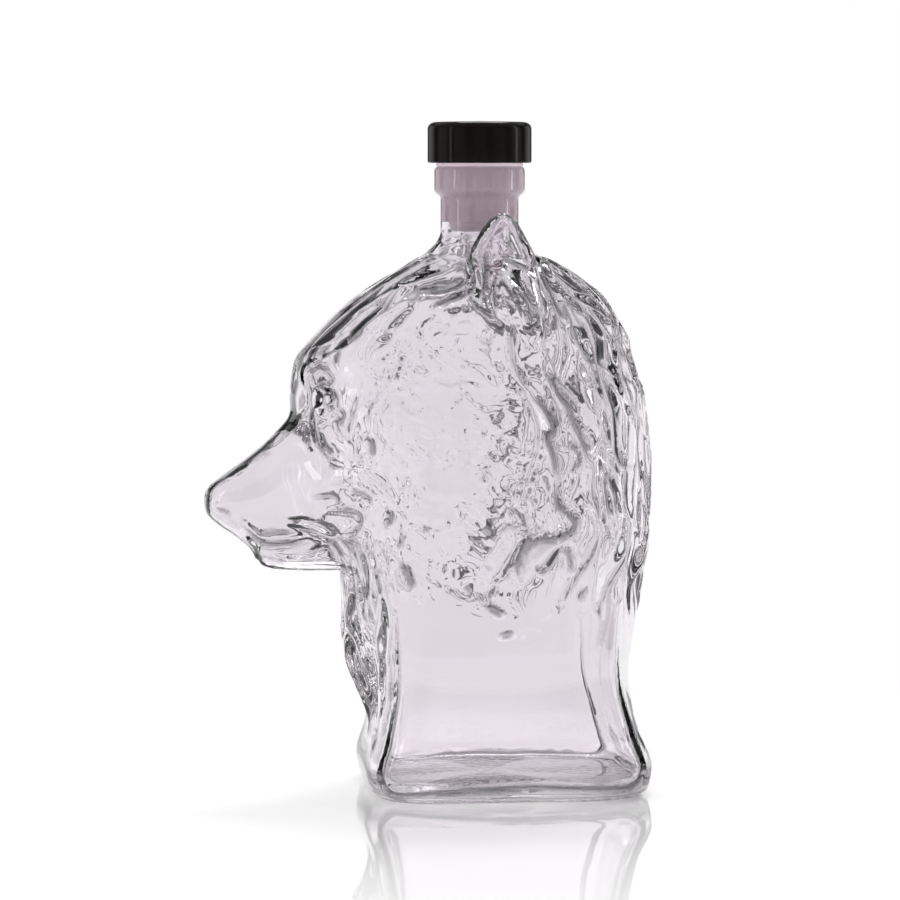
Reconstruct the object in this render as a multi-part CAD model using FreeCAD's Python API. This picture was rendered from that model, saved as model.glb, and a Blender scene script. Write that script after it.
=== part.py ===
"""A clear glass decanter shaped as a wolf's head, with a stopper that pulls out of its neck.

The wolf faces -Y and the decanter stands on Z = 0, with the origin on the axis of the neck.
Sizes are in millimetres.
"""

import FreeCAD, Part

import math
import os
from collections import namedtuple

Vector = FreeCAD.Vector

# Glass thickness
WALL = 4.0
FLOOR = 7.0
FLOOR_CORNER = 9.0

# Head and foot, measured from the neck's axis and from the plane that the foot stands on
CROWN_HEIGHT = 160.5
HEAD_HALF_WIDTH = 46.6
HEAD_FRONT = 57.0
HEAD_BACK = 50.0

# Muzzle and lower jaw
NOSE_REACH = 82.8
MUZZLE_HALF_WIDTH = 21.0
MUZZLE_SQUARE = 2.4
JAW_REACH = 66.8
JAW_HALF_WIDTH = 16.0
JAW_SQUARE = 2.6

# Ears
EAR_ROOT = 0.822 * CROWN_HEIGHT
EAR_LENGTH = 41.4
EAR_HALF_WIDTH = 8.6
EAR_HALF_DEPTH = 11.4

# Eyes, each a ball in a hollow of the head's surface
EYE_HEIGHT = 118.0
EYE_SIDE = 22.0
EYE_SOCKET_RADIUS = 6.5
EYE_SOCKET_DEPTH = 3.6
EYE_BALL_RADIUS = 3.8
EYE_BALL_PROUD = 2.0

# Locks of fur that stand out of the surface
LOCK_HALF_WIDTH = 4.2
LOCK_HALF_DEPTH = 1.8
LOCK_SWAY = 4.0
LOCK_TIP = 0.04
LOCK_REACH = 0.01

# Neck, from the crown of the head to the lip
CROWN_RADIUS = 17.2
CROWN_LEDGE = 0.8
FLARE_HEIGHT = 7.0
NECK_RADIUS = 11.7
NECK_LENGTH = 10.0
NECK_ROOT = 9.0
LIP_TAPER = 2.4
LIP_RADIUS = 13.6
LIP_HEIGHT = 7.1
LIP_ROUND = 1.2
BORE_RADIUS = 9.75
BORE_THROAT = 1.0

# Stopper
PLUG_CLEARANCE = 0.08
PLUG_LENGTH = 19.5
PLUG_FLANGE = 1.0
PLUG_FLANGE_MARGIN = 0.6
PLUG_RIBS = 4
PLUG_RIB_HEIGHT = 2.2
PLUG_RIB_DEPTH = 0.4
PLUG_FOOT_ROUND = 2.0
PLUG_CORE_RADIUS = 5.0
PLUG_CORE_DEPTH = 9.0
SPIGOT_RADIUS = 4.2
SPIGOT_LENGTH = 7.5
CAP_RADIUS = 15.6
CAP_HEIGHT = 12.6
CAP_WALL = 2.0
CAP_TOP_ROUND = 2.2
CAP_RIM_ROUND = 0.5

# Fineness of the lofts
POINTS_AROUND = 28
LOCK_STEPS = 7
FINE_STEPS = 20
BODY_STEPS = 22
SNOUT_STEPS = 14
EAR_STEPS = 8
CHEST_STEPS = 8
FLOOR_STEPS = 4
ROUND = 2.0

# Heights that follow from the sizes above
NECK_FOOT = CROWN_HEIGHT + FLARE_HEIGHT
NECK_TOP = NECK_FOOT + NECK_LENGTH
LIP_FOOT = NECK_TOP + LIP_TAPER
LIP_TOP = LIP_FOOT + LIP_HEIGHT
CAP_FOOT = LIP_TOP + PLUG_FLANGE
CAP_TOP = CAP_FOOT + CAP_HEIGHT

Level = namedtuple("Level", "height front back half_width square")
Snout = namedtuple("Snout", "reach top bottom half_width")
Leaf = namedtuple("Leaf", "height side behind half_width half_depth")
Row = namedtuple("Row", "root tip first last count drift")


def level(rise, front, back, half_width, square):
    """A level section, from shares of the head's sizes; a square of 2 is an ellipse, more is flatter."""
    reaches = HEAD_FRONT * front, HEAD_BACK * back, HEAD_HALF_WIDTH * half_width
    return Level(CROWN_HEIGHT * rise, *reaches, square)


def muzzle(reach, top, bottom, half_width):
    """An upright section of the upper muzzle, from shares of its sizes and of the head's height."""
    heights = CROWN_HEIGHT * top, CROWN_HEIGHT * bottom
    return Snout(NOSE_REACH * reach, *heights, MUZZLE_HALF_WIDTH * half_width)


def jaw(reach, top, bottom, half_width):
    """An upright section of the lower jaw, from shares of its sizes and of the head's height."""
    heights = CROWN_HEIGHT * top, CROWN_HEIGHT * bottom
    return Snout(JAW_REACH * reach, *heights, JAW_HALF_WIDTH * half_width)


def ear(rise, side, behind, half_width, half_depth):
    """A level section of an ear, from shares of the ear's sizes and of where it stands on the head."""
    place = HEAD_HALF_WIDTH * side, HEAD_BACK * behind
    halves = EAR_HALF_WIDTH * half_width, EAR_HALF_DEPTH * half_depth
    return Leaf(EAR_ROOT + EAR_LENGTH * rise, *place, *halves)


HEAD = [
    level(rise=0.0, front=0.565, back=0.91, half_width=0.755, square=4.6),
    level(rise=0.014, front=0.61, back=0.98, half_width=0.8, square=4.8),
    level(rise=0.056, front=0.632, back=1.0, half_width=0.82, square=5.0),
    level(rise=0.125, front=0.584, back=0.92, half_width=0.77, square=4.8),
    level(rise=0.23, front=0.57, back=0.867, half_width=0.742, square=4.4),
    level(rise=0.324, front=0.632, back=0.914, half_width=0.828, square=3.6),
    level(rise=0.424, front=0.71, back=0.952, half_width=0.944, square=3.0),
    level(rise=0.542, front=0.772, back=0.988, half_width=1.0, square=2.6),
    level(rise=0.648, front=0.87, back=0.982, half_width=0.97, square=2.4),
    level(rise=0.741, front=1.0, back=0.97, half_width=0.91, square=2.3),
    level(rise=0.798, front=0.982, back=0.916, half_width=0.828, square=2.2),
    level(rise=0.86, front=0.847, back=0.844, half_width=0.717, square=2.2),
    level(rise=0.916, front=0.684, back=0.748, half_width=0.592, square=2.1),
    level(rise=0.96, front=0.495, back=0.594, half_width=0.48, square=2.0),
    level(rise=0.988, front=0.358, back=0.438, half_width=0.4, square=2.0),
    Level(CROWN_HEIGHT, CROWN_RADIUS, CROWN_RADIUS, CROWN_RADIUS, ROUND),
]
MUZZLE = [
    muzzle(reach=0.41, top=0.698, bottom=0.498, half_width=1.0),
    muzzle(reach=0.58, top=0.704, bottom=0.482, half_width=0.876),
    muzzle(reach=0.7, top=0.688, bottom=0.466, half_width=0.752),
    muzzle(reach=0.773, top=0.654, bottom=0.461, half_width=0.686),
    muzzle(reach=0.845, top=0.624, bottom=0.468, half_width=0.62),
    muzzle(reach=0.918, top=0.597, bottom=0.488, half_width=0.533),
    muzzle(reach=0.966, top=0.578, bottom=0.506, half_width=0.41),
    muzzle(reach=0.993, top=0.563, bottom=0.522, half_width=0.238),
    muzzle(reach=1.0, top=0.551, bottom=0.536, half_width=0.095),
]
JAW = [
    jaw(reach=0.51, top=0.523, bottom=0.416, half_width=1.0),
    jaw(reach=0.75, top=0.492, bottom=0.416, half_width=0.85),
    jaw(reach=0.913, top=0.48, bottom=0.419, half_width=0.688),
    jaw(reach=0.979, top=0.473, bottom=0.426, half_width=0.538),
    jaw(reach=1.0, top=0.467, bottom=0.437, half_width=0.35),
]
EAR = [
    ear(rise=0.0, side=0.494, behind=0.2, half_width=1.0, half_depth=0.965),
    ear(rise=0.362, side=0.541, behind=0.132, half_width=0.977, half_depth=1.0),
    ear(rise=0.652, side=0.567, behind=0.068, half_width=0.79, half_depth=0.912),
    ear(rise=0.845, side=0.579, behind=0.068, half_width=0.535, half_depth=0.596),
    ear(rise=0.961, side=0.584, behind=0.072, half_width=0.279, half_depth=0.298),
    ear(rise=1.0, side=0.584, behind=0.072, half_width=0.093, half_depth=0.088),
]
EAR_HOLLOW = [
    ear(rise=0.145, side=0.76, behind=0.172, half_width=0.163, half_depth=0.228),
    ear(rise=0.362, side=0.695, behind=0.128, half_width=0.488, half_depth=0.614),
    ear(rise=0.604, side=0.687, behind=0.068, half_width=0.535, half_depth=0.596),
    ear(rise=0.797, side=0.67, behind=0.065, half_width=0.349, half_depth=0.368),
    ear(rise=0.932, side=0.665, behind=0.072, half_width=0.116, half_depth=0.105),
]
CHEST = [
    level(rise=0.125, front=0.554, back=0.16, half_width=0.107, square=2.0),
    level(rise=0.162, front=0.621, back=0.16, half_width=0.206, square=2.0),
    level(rise=0.212, front=0.677, back=0.16, half_width=0.322, square=2.2),
    level(rise=0.28, front=0.705, back=0.16, half_width=0.442, square=2.3),
    level(rise=0.374, front=0.73, back=0.16, half_width=0.536, square=2.4),
    level(rise=0.498, front=0.702, back=0.16, half_width=0.515, square=2.4),
]

# Rows of locks on one side of the wolf: root and tip are shares of the head's height, bearings are in
# degrees from straight ahead, and each lock drifts by so many degrees from root to tip
MANE_ROWS = [
    Row(root=0.945, tip=0.7, first=122.0, last=170.0, count=4, drift=-6.0),
    Row(root=0.77, tip=0.48, first=100.0, last=172.0, count=6, drift=4.0),
    Row(root=0.55, tip=0.34, first=93.0, last=165.0, count=6, drift=-4.0),
    Row(root=0.955, tip=0.79, first=14.0, last=62.0, count=5, drift=4.0),
]
CHEST_ROWS = [
    Row(root=0.42, tip=0.18, first=10.0, last=42.0, count=3, drift=-4.0),
]


def eased(pairs):
    """A smooth curve through (place, value) pairs that never overshoots them, as a function of place."""
    secants = [(b[1] - a[1]) / (b[0] - a[0]) for a, b in zip(pairs, pairs[1:])]
    slopes = [secants[0]]
    for before, after in zip(secants, secants[1:]):
        slopes.append(0.0 if before * after <= 0 else 2 * before * after / (before + after))
    slopes.append(secants[-1])

    def value(place):
        last = len(pairs) - 2
        i = next((k for k in range(last) if place < pairs[k + 1][0]), last)
        (start, low), (end, high) = pairs[i], pairs[i + 1]
        span = end - start
        t = (place - start) / span
        rise = 3 * t**2 - 2 * t**3
        lead_in = slopes[i] * span * (t - 2 * t**2 + t**3)
        lead_out = slopes[i + 1] * span * (t**3 - t**2)
        return low + (high - low) * rise + lead_in + lead_out

    return value


def section_at(sections, place):
    """The eased section at a place along the first field."""
    kind = type(sections[0])
    fields = range(1, len(kind._fields))
    return kind(place, *[eased([(s[0], s[k]) for s in sections])(place) for k in fields])


def in_between(sections, steps):
    """The sections, with eased ones added so that there are about this many steps from first to last."""
    total = sections[-1][0] - sections[0][0]
    places = []
    for a, b in zip(sections, sections[1:]):
        count = max(1, round(steps * (b[0] - a[0]) / total))
        places += [a[0] + (b[0] - a[0]) * k / count for k in range(count)]
    places.append(sections[-1][0])
    return [section_at(sections, place) for place in places]


def oval(half_width, front, back, square):
    """Evenly spaced points round a superellipse that may reach further one way than the other."""
    fine = []
    for k in range(POINTS_AROUND * FINE_STEPS + 1):
        angle = 2 * math.pi * k / (POINTS_AROUND * FINE_STEPS)
        turn = math.cos(angle), math.sin(angle)
        across, along = [math.copysign(abs(v) ** (2 / square), v) for v in turn]
        fine.append(Vector(across * half_width, along * (back if along > 0 else front), 0))
    run = [0.0]
    for a, b in zip(fine, fine[1:]):
        run.append(run[-1] + (b - a).Length)
    points = []
    for k in range(POINTS_AROUND):
        length = run[-1] * k / POINTS_AROUND
        i = next(j for j in range(len(run)) if run[j + 1] > length)
        points.append(fine[i] + (fine[i + 1] - fine[i]) * ((length - run[i]) / (run[i + 1] - run[i])))
    return points


def closed_curve(points):
    """A smooth closed wire through the points."""
    curve = Part.BSplineCurve()
    evenly = [k / len(points) for k in range(len(points) + 1)]
    curve.interpolate(Points=points, PeriodicFlag=True, Parameters=evenly)
    return Part.Wire([curve.toShape()])


def level_loft(levels, steps):
    """A solid through level sections about the neck's axis."""
    wires = []
    for section in in_between(levels, steps):
        ring = oval(section.half_width, section.front, section.back, section.square)
        wires.append(closed_curve([Vector(p.x, p.y, section.height) for p in ring]))
    return Part.makeLoft(wires, True)


def snout_loft(snouts, square):
    """A solid through upright sections that follow one another towards the nose."""
    wires = []
    for snout in in_between(snouts, SNOUT_STEPS):
        middle = (snout.top + snout.bottom) / 2
        half = (snout.top - snout.bottom) / 2
        ring = oval(snout.half_width, half, half, square)
        wires.append(closed_curve([Vector(p.x, -snout.reach, middle + p.y) for p in ring]))
    return Part.makeLoft(wires, True)


def leaf_loft(leaves):
    """A solid through level ovals that lean with the ear."""
    wires = []
    for leaf in in_between(leaves, EAR_STEPS):
        ring = oval(leaf.half_width, leaf.half_depth, leaf.half_depth, ROUND)
        place = Vector(leaf.side, leaf.behind, leaf.height)
        wires.append(closed_curve([place + p for p in ring]))
    return Part.makeLoft(wires, True)


def surface_point(levels, height, bearing):
    """The point of a level-section surface at a height and a bearing in degrees from straight ahead."""
    section = section_at(levels, height)
    across, ahead = math.sin(math.radians(bearing)), math.cos(math.radians(bearing))
    reach = section.front if ahead > 0 else section.back
    share = abs(across / section.half_width) ** section.square + abs(ahead / reach) ** section.square
    radius = share ** (-1 / section.square)
    return Vector(radius * across, -radius * ahead, height)


def surface_outward(levels, height, bearing):
    """The outward direction of a level-section surface there."""
    upward = surface_point(levels, height + 1, bearing) - surface_point(levels, height - 1, bearing)
    sideways = surface_point(levels, height, bearing + 1) - surface_point(levels, height, bearing - 1)
    return sideways.cross(upward).normalize()


def lock(levels, row, bearing):
    """One lock of fur: a ridged spindle that sways down the surface from its root to its tip."""

    def bearing_at(t):
        return bearing + row.drift * t + LOCK_SWAY * math.sin(2 * math.pi * t)

    def height_at(t):
        return CROWN_HEIGHT * (row.root + (row.tip - row.root) * t)

    wires = []
    for k in range(LOCK_STEPS + 1):
        t = k / LOCK_STEPS
        place = surface_point(levels, height_at(t), bearing_at(t))
        outward = surface_outward(levels, height_at(t), bearing_at(t))
        ahead = surface_point(levels, height_at(t + LOCK_REACH), bearing_at(t + LOCK_REACH))
        sideways = (ahead - place).cross(outward).normalize()
        fullness = math.sin(math.pi * (LOCK_TIP + (1 - 2 * LOCK_TIP) * t))
        spread = sideways * (LOCK_HALF_WIDTH * fullness)
        swell = outward * (LOCK_HALF_DEPTH * fullness)
        corners = [place + spread, place + swell, place - spread, place - swell]
        wires.append(Part.makePolygon(corners + corners[:1]))
    return Part.makeLoft(wires, True, True)


def locks(levels, rows):
    """The locks of all rows, on both sides of the wolf."""
    solids = []
    for row in rows:
        gap = (row.last - row.first) / max(1, row.count - 1)
        for k in range(row.count):
            solids += both_sides(lock(levels, row, row.first + k * gap))
    return solids


def rounded(corners):
    """A closed face in the XZ plane: each corner is (radius, height) or (radius, height, rounding)."""
    places = [Vector(c[0], 0, c[1]) for c in corners]
    roundings = [c[2] if len(c) > 2 else 0.0 for c in corners]
    edges = []
    ends = []
    for i, (place, rounding) in enumerate(zip(places, roundings)):
        before = places[i - 1] - place
        after = places[(i + 1) % len(places)] - place
        room = 0.5 * min(before.Length, after.Length)
        before.normalize()
        after.normalize()
        half = 0.5 * before.getAngle(after)
        setback = min(rounding / math.tan(half), room)
        ends.append((place + before * setback, place + after * setback))
        if setback > 0:
            radius = setback * math.tan(half)
            inward = (before + after).normalize()
            middle = place + inward * (radius / math.sin(half) - radius)
            edges.append(Part.Arc(ends[i][0], middle, ends[i][1]).toShape())
    for i in range(len(ends)):
        start, end = ends[i - 1][1], ends[i][0]
        if not start.isEqual(end, 1e-6):
            edges.append(Part.LineSegment(start, end).toShape())
    return Part.Face(Part.Wire(Part.__sortEdges__(edges)))


def turned(corners):
    """A solid turned about the neck's axis from a profile."""
    return rounded(corners).revolve(Vector(0, 0, 0), Vector(0, 0, 1), 360)


def both_sides(solid):
    """The solid and its mirror image in the wolf's plane of symmetry."""
    return [solid, solid.mirror(Vector(0, 0, 0), Vector(1, 0, 0))]


def inset(levels):
    """The level sections of the inside, a wall's thickness within the outside and square to it."""
    inner = []
    for i, section in enumerate(levels):
        below, above = levels[max(i - 1, 0)], levels[min(i + 1, len(levels) - 1)]
        rise = above.height - below.height
        narrowing = (sum(below[1:4]) - sum(above[1:4])) / 3
        length = math.hypot(rise, narrowing)
        inward, down = WALL * rise / length, WALL * narrowing / length
        reaches = [size - inward for size in section[1:4]]
        inner.append(Level(section.height - down, *reaches, section.square))
    return inner


def cavity():
    """The hollow that holds the liquor, with its pocket in the muzzle and the bore of the neck."""
    walls = inset(HEAD)
    floor = []
    for k in range(FLOOR_STEPS):
        turn = math.radians(90 * k / FLOOR_STEPS)
        wall = section_at(walls, FLOOR + FLOOR_CORNER * (1 - math.cos(turn)))
        tuck = FLOOR_CORNER * (1 - math.sin(turn))
        floor.append(Level(wall.height, *[size - tuck for size in wall[1:4]], wall.square))
    upright = [section for section in walls if section.height > FLOOR + FLOOR_CORNER]
    throat = BORE_RADIUS + BORE_THROAT
    top = Level(CROWN_HEIGHT + BORE_THROAT, throat, throat, throat, ROUND)
    hollow = level_loft(floor + upright + [top], BODY_STEPS)
    first, last = MUZZLE[0].reach, MUZZLE[-1].reach
    pocket = []
    for snout in MUZZLE:
        reach = snout.reach - WALL * (snout.reach - first) / (last - first)
        section = Snout(reach, snout.top - WALL, snout.bottom + WALL, snout.half_width - WALL)
        if section.half_width > WALL / 2 and section.top - section.bottom > WALL:
            pocket.append(section)
    bore = Part.makeCylinder(BORE_RADIUS, LIP_TOP, Vector(0, 0, FLOOR + FLOOR_CORNER))
    return hollow.multiFuse([snout_loft(pocket, MUZZLE_SQUARE), bore])


def neck():
    """The outside of the neck with its flare and its lip."""
    flare = CROWN_RADIUS - CROWN_LEDGE
    return turned([
        (0, CROWN_HEIGHT - NECK_ROOT),
        (flare, CROWN_HEIGHT - NECK_ROOT),
        (flare, CROWN_HEIGHT),
        (NECK_RADIUS, NECK_FOOT, FLARE_HEIGHT),
        (NECK_RADIUS, NECK_TOP, LIP_TAPER),
        (LIP_RADIUS, LIP_FOOT, LIP_TAPER),
        (LIP_RADIUS, LIP_TOP, LIP_ROUND),
        (0, LIP_TOP),
    ])


def eye():
    """One eye: the socket to cut and the ball to add, set square to the head's surface."""
    section = section_at(HEAD, EYE_HEIGHT)
    share = 1 - (EYE_SIDE / section.half_width) ** section.square
    ahead = section.front * share ** (1 / section.square)
    bearing = math.degrees(math.atan2(EYE_SIDE, ahead))
    place = surface_point(HEAD, EYE_HEIGHT, bearing)
    outward = surface_outward(HEAD, EYE_HEIGHT, bearing)
    socket = Part.makeSphere(EYE_SOCKET_RADIUS, place + outward * (EYE_SOCKET_RADIUS - EYE_SOCKET_DEPTH))
    sunk = EYE_BALL_RADIUS + EYE_SOCKET_DEPTH - EYE_BALL_PROUD
    return socket, Part.makeSphere(EYE_BALL_RADIUS, place - outward * sunk)


def glass_bottle():
    """The glass: head, muzzle, jaw, ears, fur and neck fused, with the eyes and the hollow cut."""
    socket, ball = eye()
    additions = [snout_loft(MUZZLE, MUZZLE_SQUARE), snout_loft(JAW, JAW_SQUARE), neck()]
    additions.append(level_loft(CHEST, CHEST_STEPS))
    additions += both_sides(leaf_loft(EAR))
    additions += locks(HEAD, MANE_ROWS) + locks(CHEST, CHEST_ROWS)
    outside = level_loft(HEAD, BODY_STEPS).multiFuse(additions)
    outside = outside.cut(both_sides(leaf_loft(EAR_HOLLOW)) + both_sides(socket))
    return outside.multiFuse(both_sides(ball)).cut(cavity())


def stopper_plug():
    """The plug: a flange on the lip, ribs in the bore, a socket above and a coring hollow below."""
    crest = BORE_RADIUS - PLUG_CLEARANCE
    root = crest - PLUG_RIB_DEPTH
    foot = LIP_TOP - PLUG_LENGTH
    pitch = (PLUG_LENGTH - PLUG_FOOT_ROUND) / PLUG_RIBS
    profile = [(0, foot + PLUG_CORE_DEPTH), (PLUG_CORE_RADIUS, foot + PLUG_CORE_DEPTH, PLUG_FOOT_ROUND)]
    profile += [(PLUG_CORE_RADIUS, foot), (root, foot, PLUG_FOOT_ROUND)]
    for k in range(PLUG_RIBS):
        middle = foot + PLUG_FOOT_ROUND + (k + 0.5) * pitch
        profile += [
            (root, middle - PLUG_RIB_HEIGHT),
            (crest, middle - PLUG_RIB_HEIGHT / 2, PLUG_RIB_DEPTH),
            (crest, middle + PLUG_RIB_HEIGHT / 2, PLUG_RIB_DEPTH),
            (root, middle + PLUG_RIB_HEIGHT),
        ]
    flange = LIP_RADIUS - PLUG_FLANGE_MARGIN
    profile += [(root, LIP_TOP), (flange, LIP_TOP), (flange, CAP_FOOT), (SPIGOT_RADIUS, CAP_FOOT)]
    profile += [(SPIGOT_RADIUS, CAP_FOOT - SPIGOT_LENGTH), (0, CAP_FOOT - SPIGOT_LENGTH)]
    return turned(profile)


def cap_shell():
    """The cap: a cup that opens downward."""
    inner = CAP_RADIUS - CAP_WALL
    return turned([
        (inner, CAP_FOOT),
        (CAP_RADIUS, CAP_FOOT, CAP_RIM_ROUND),
        (CAP_RADIUS, CAP_TOP, CAP_TOP_ROUND),
        (0, CAP_TOP),
        (0, CAP_TOP - CAP_WALL),
        (inner, CAP_TOP - CAP_WALL),
    ])


def cap_insert():
    """The core that fills the cap and holds the plug on its spigot."""
    inner = CAP_RADIUS - CAP_WALL
    return turned([
        (0, CAP_FOOT - SPIGOT_LENGTH),
        (SPIGOT_RADIUS, CAP_FOOT - SPIGOT_LENGTH),
        (SPIGOT_RADIUS, CAP_FOOT),
        (inner, CAP_FOOT),
        (inner, CAP_TOP - CAP_WALL),
        (0, CAP_TOP - CAP_WALL),
    ])


def main():
    os.makedirs("parts", exist_ok=True)
    nodes = {
        "glass_bottle": glass_bottle(),
        "cap_shell": cap_shell(),
        "cap_insert": cap_insert(),
        "stopper_plug": stopper_plug(),
    }
    for name, shape in nodes.items():
        shape.exportStep(f"parts/{name}.step")


main()
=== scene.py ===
"""Looks of the wolf's-head decanter: moulded clear glass with a fur relief, and a black-capped stopper."""

import math
from collections import namedtuple

import bmesh
import bpy
import numpy as np
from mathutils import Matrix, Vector
from mathutils.bvhtree import BVHTree


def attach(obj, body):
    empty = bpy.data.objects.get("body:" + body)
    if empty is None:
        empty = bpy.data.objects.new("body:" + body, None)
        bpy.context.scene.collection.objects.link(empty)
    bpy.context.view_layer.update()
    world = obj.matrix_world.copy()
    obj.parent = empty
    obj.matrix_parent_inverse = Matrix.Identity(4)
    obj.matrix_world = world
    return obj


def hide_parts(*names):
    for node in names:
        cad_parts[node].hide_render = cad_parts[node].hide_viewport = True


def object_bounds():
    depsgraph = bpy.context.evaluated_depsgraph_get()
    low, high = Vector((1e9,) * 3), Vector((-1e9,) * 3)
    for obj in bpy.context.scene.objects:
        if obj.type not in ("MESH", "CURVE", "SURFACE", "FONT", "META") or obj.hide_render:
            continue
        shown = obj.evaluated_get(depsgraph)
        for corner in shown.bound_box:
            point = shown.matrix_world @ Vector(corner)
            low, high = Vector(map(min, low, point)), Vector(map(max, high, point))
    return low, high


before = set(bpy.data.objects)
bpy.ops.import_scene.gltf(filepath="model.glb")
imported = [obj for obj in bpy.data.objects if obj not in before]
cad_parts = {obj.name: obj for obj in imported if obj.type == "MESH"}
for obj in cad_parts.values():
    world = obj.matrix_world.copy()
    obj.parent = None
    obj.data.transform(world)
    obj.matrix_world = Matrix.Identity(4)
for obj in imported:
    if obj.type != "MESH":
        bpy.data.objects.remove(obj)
cad_low, cad_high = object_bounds()

# Sizes are in millimetres and become metres when a mesh is made
MM = 0.001

# Glass thickness, which grows from the foot's to the head's between two heights
WALL = 4.0
FOOT_WALL = 2.6
WALL_GROWS = (10.0, 95.0)
FLOOR = 3.2
FLOOR_CORNER = 6.0
FLOOR_WAVE = 0.3
MUZZLE_WALL = 2.0
JAW_WALL = 1.5

# Head and foot, measured from the neck's axis and from the plane that the foot stands on
CROWN_HEIGHT = 160.5
HEAD_HALF_WIDTH = 46.6
HEAD_FRONT = 57.0
HEAD_BACK = 50.0

# Muzzle, lower jaw and ears
NOSE_REACH = 82.8
MUZZLE_HALF_WIDTH = 21.0
MUZZLE_SQUARE = 2.4
JAW_REACH = 66.8
JAW_HALF_WIDTH = 16.0
JAW_SQUARE = 2.6
EAR_ROOT = 0.822 * CROWN_HEIGHT
EAR_LENGTH = 41.4
EAR_HALF_WIDTH = 8.6
EAR_HALF_DEPTH = 11.4

# Eyes
EYE_HEIGHT = 118.0
EYE_SIDE = 25.5
EYE_SOCKET_RADIUS = 5.4
EYE_SOCKET_DEPTH = 2.8
EYE_BALL_RADIUS = 3.2
EYE_BALL_PROUD = 1.8

# Fillets where the forms of the head meet
CHEST_FILLET = 4.0
MOUTH_FILLET = 9.0
EAR_FILLET = 2.5
EAR_RIM_ROUND = 1.5
EYE_SOCKET_ROUND = 2.0
EYE_BALL_FILLET = 0.6
NECK_FILLET = 1.5
BORE_FILLET = 3.0

# The muzzle's root spreads into the cheeks, away from the nose's ridge and below the brow
SPREAD_SIDE = (6.0, 14.0)
SPREAD_TOP = (94.0, 106.0)

# Neck
CROWN_RADIUS = 17.2
CROWN_LEDGE = 0.8
NECK_RADIUS = 11.7
NECK_FLARE = 1.2
NECK_FLARE_HEIGHT = 3.0
NECK_ROOT = 9.0
NECK_FOOT = CROWN_HEIGHT + 7.0
NECK_TOP = NECK_FOOT + 10.0
LIP_FOOT = NECK_TOP + 2.4
LIP_TOP = LIP_FOOT + 7.1
LIP_RADIUS = 13.6
LIP_ROUND = 1.2
BORE_RADIUS = 9.75
BORE_PAST_LIP = 6.0
SHOULDER_RADIUS = 13.6
SHOULDER_DEPTHS = (40.0, 6.0)

# Stopper: the plug is pressed smooth against the bore above its narrower foot
PLUG_LENGTH = 19.5
PLUG_FOOT_RADIUS = 9.27
PLUG_COLLAR = 16.5
PLUG_COLLAR_EDGE = 0.4
PLUG_SQUEEZE = 0.03
PLUG_FOOT_ROUND = 2.0
PLUG_CORE_RADIUS = 5.0
PLUG_CORE_DEPTH = 9.0
PLUG_FLANGE_MARGIN = 0.6
SPIGOT_RADIUS = 4.2
SPIGOT_LENGTH = 7.5
CAP_FOOT = LIP_TOP + 1.0
CAP_TOP = CAP_FOOT + 12.6
CAP_CROWN = 0.35
CAP_RADIUS = 15.6
CAP_WALL = 2.0
CAP_TOP_ROUND = 2.2
CAP_RIM_ROUND = 0.5

# Main locks of the fur: wavy ridges that taper to both ends, with bearings in degrees from the nose
LOCK_HALF_WIDTH = 4.2
LOCK_RISE = 1.8
LOCK_SWAY = 4.0
LOCK_TIP = 0.04
LOCK_STEPS = 40

# Fineness of the glass mesh and of the turned pieces
SKIN_STEP = 0.87
HOLLOW_STEP = 1.9
MESH_MARGIN = 3.5
SETTLE_ROUNDS = 3
SLOPE_REACH = 0.05
LEAST_SLOPE = 0.2
LONGEST_MOVE = 1.0
MOST_TRIANGLES = 190000
TURNED_STEPS = 144
ROUNDING_STEPS = 8
SHARP_EDGE = math.radians(40)

Level = namedtuple("Level", "height front back half_width square")
Snout = namedtuple("Snout", "reach top bottom half_width")
Leaf = namedtuple("Leaf", "height side behind half_width half_depth")
Row = namedtuple("Row", "root tip first last count drift fullness")
SnoutJoin = namedtuple("SnoutJoin", "muzzle_wall jaw_wall fillet spread_fillet jaw_fillet")

OUTER_SNOUT = SnoutJoin(muzzle_wall=0.0, jaw_wall=0.0, fillet=9.0, spread_fillet=13.0, jaw_fillet=2.0)
INNER_SNOUT = SnoutJoin(MUZZLE_WALL, JAW_WALL, fillet=12.0, spread_fillet=10.0, jaw_fillet=3.0)


def level(rise, front, back, half_width, square):
    """A level section of the head, from shares of its sizes."""
    reaches = HEAD_FRONT * front, HEAD_BACK * back, HEAD_HALF_WIDTH * half_width
    return Level(CROWN_HEIGHT * rise, *reaches, square)


def muzzle(reach, top, bottom, half_width):
    """An upright section of the upper muzzle."""
    heights = CROWN_HEIGHT * top, CROWN_HEIGHT * bottom
    return Snout(NOSE_REACH * reach, *heights, MUZZLE_HALF_WIDTH * half_width)


def jaw(reach, top, bottom, half_width):
    """An upright section of the lower jaw."""
    heights = CROWN_HEIGHT * top, CROWN_HEIGHT * bottom
    return Snout(JAW_REACH * reach, *heights, JAW_HALF_WIDTH * half_width)


def ear(rise, side, behind, half_width, half_depth):
    """A level section of an ear."""
    place = HEAD_HALF_WIDTH * side, HEAD_BACK * behind
    halves = EAR_HALF_WIDTH * half_width, EAR_HALF_DEPTH * half_depth
    return Leaf(EAR_ROOT + EAR_LENGTH * rise, *place, *halves)


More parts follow.
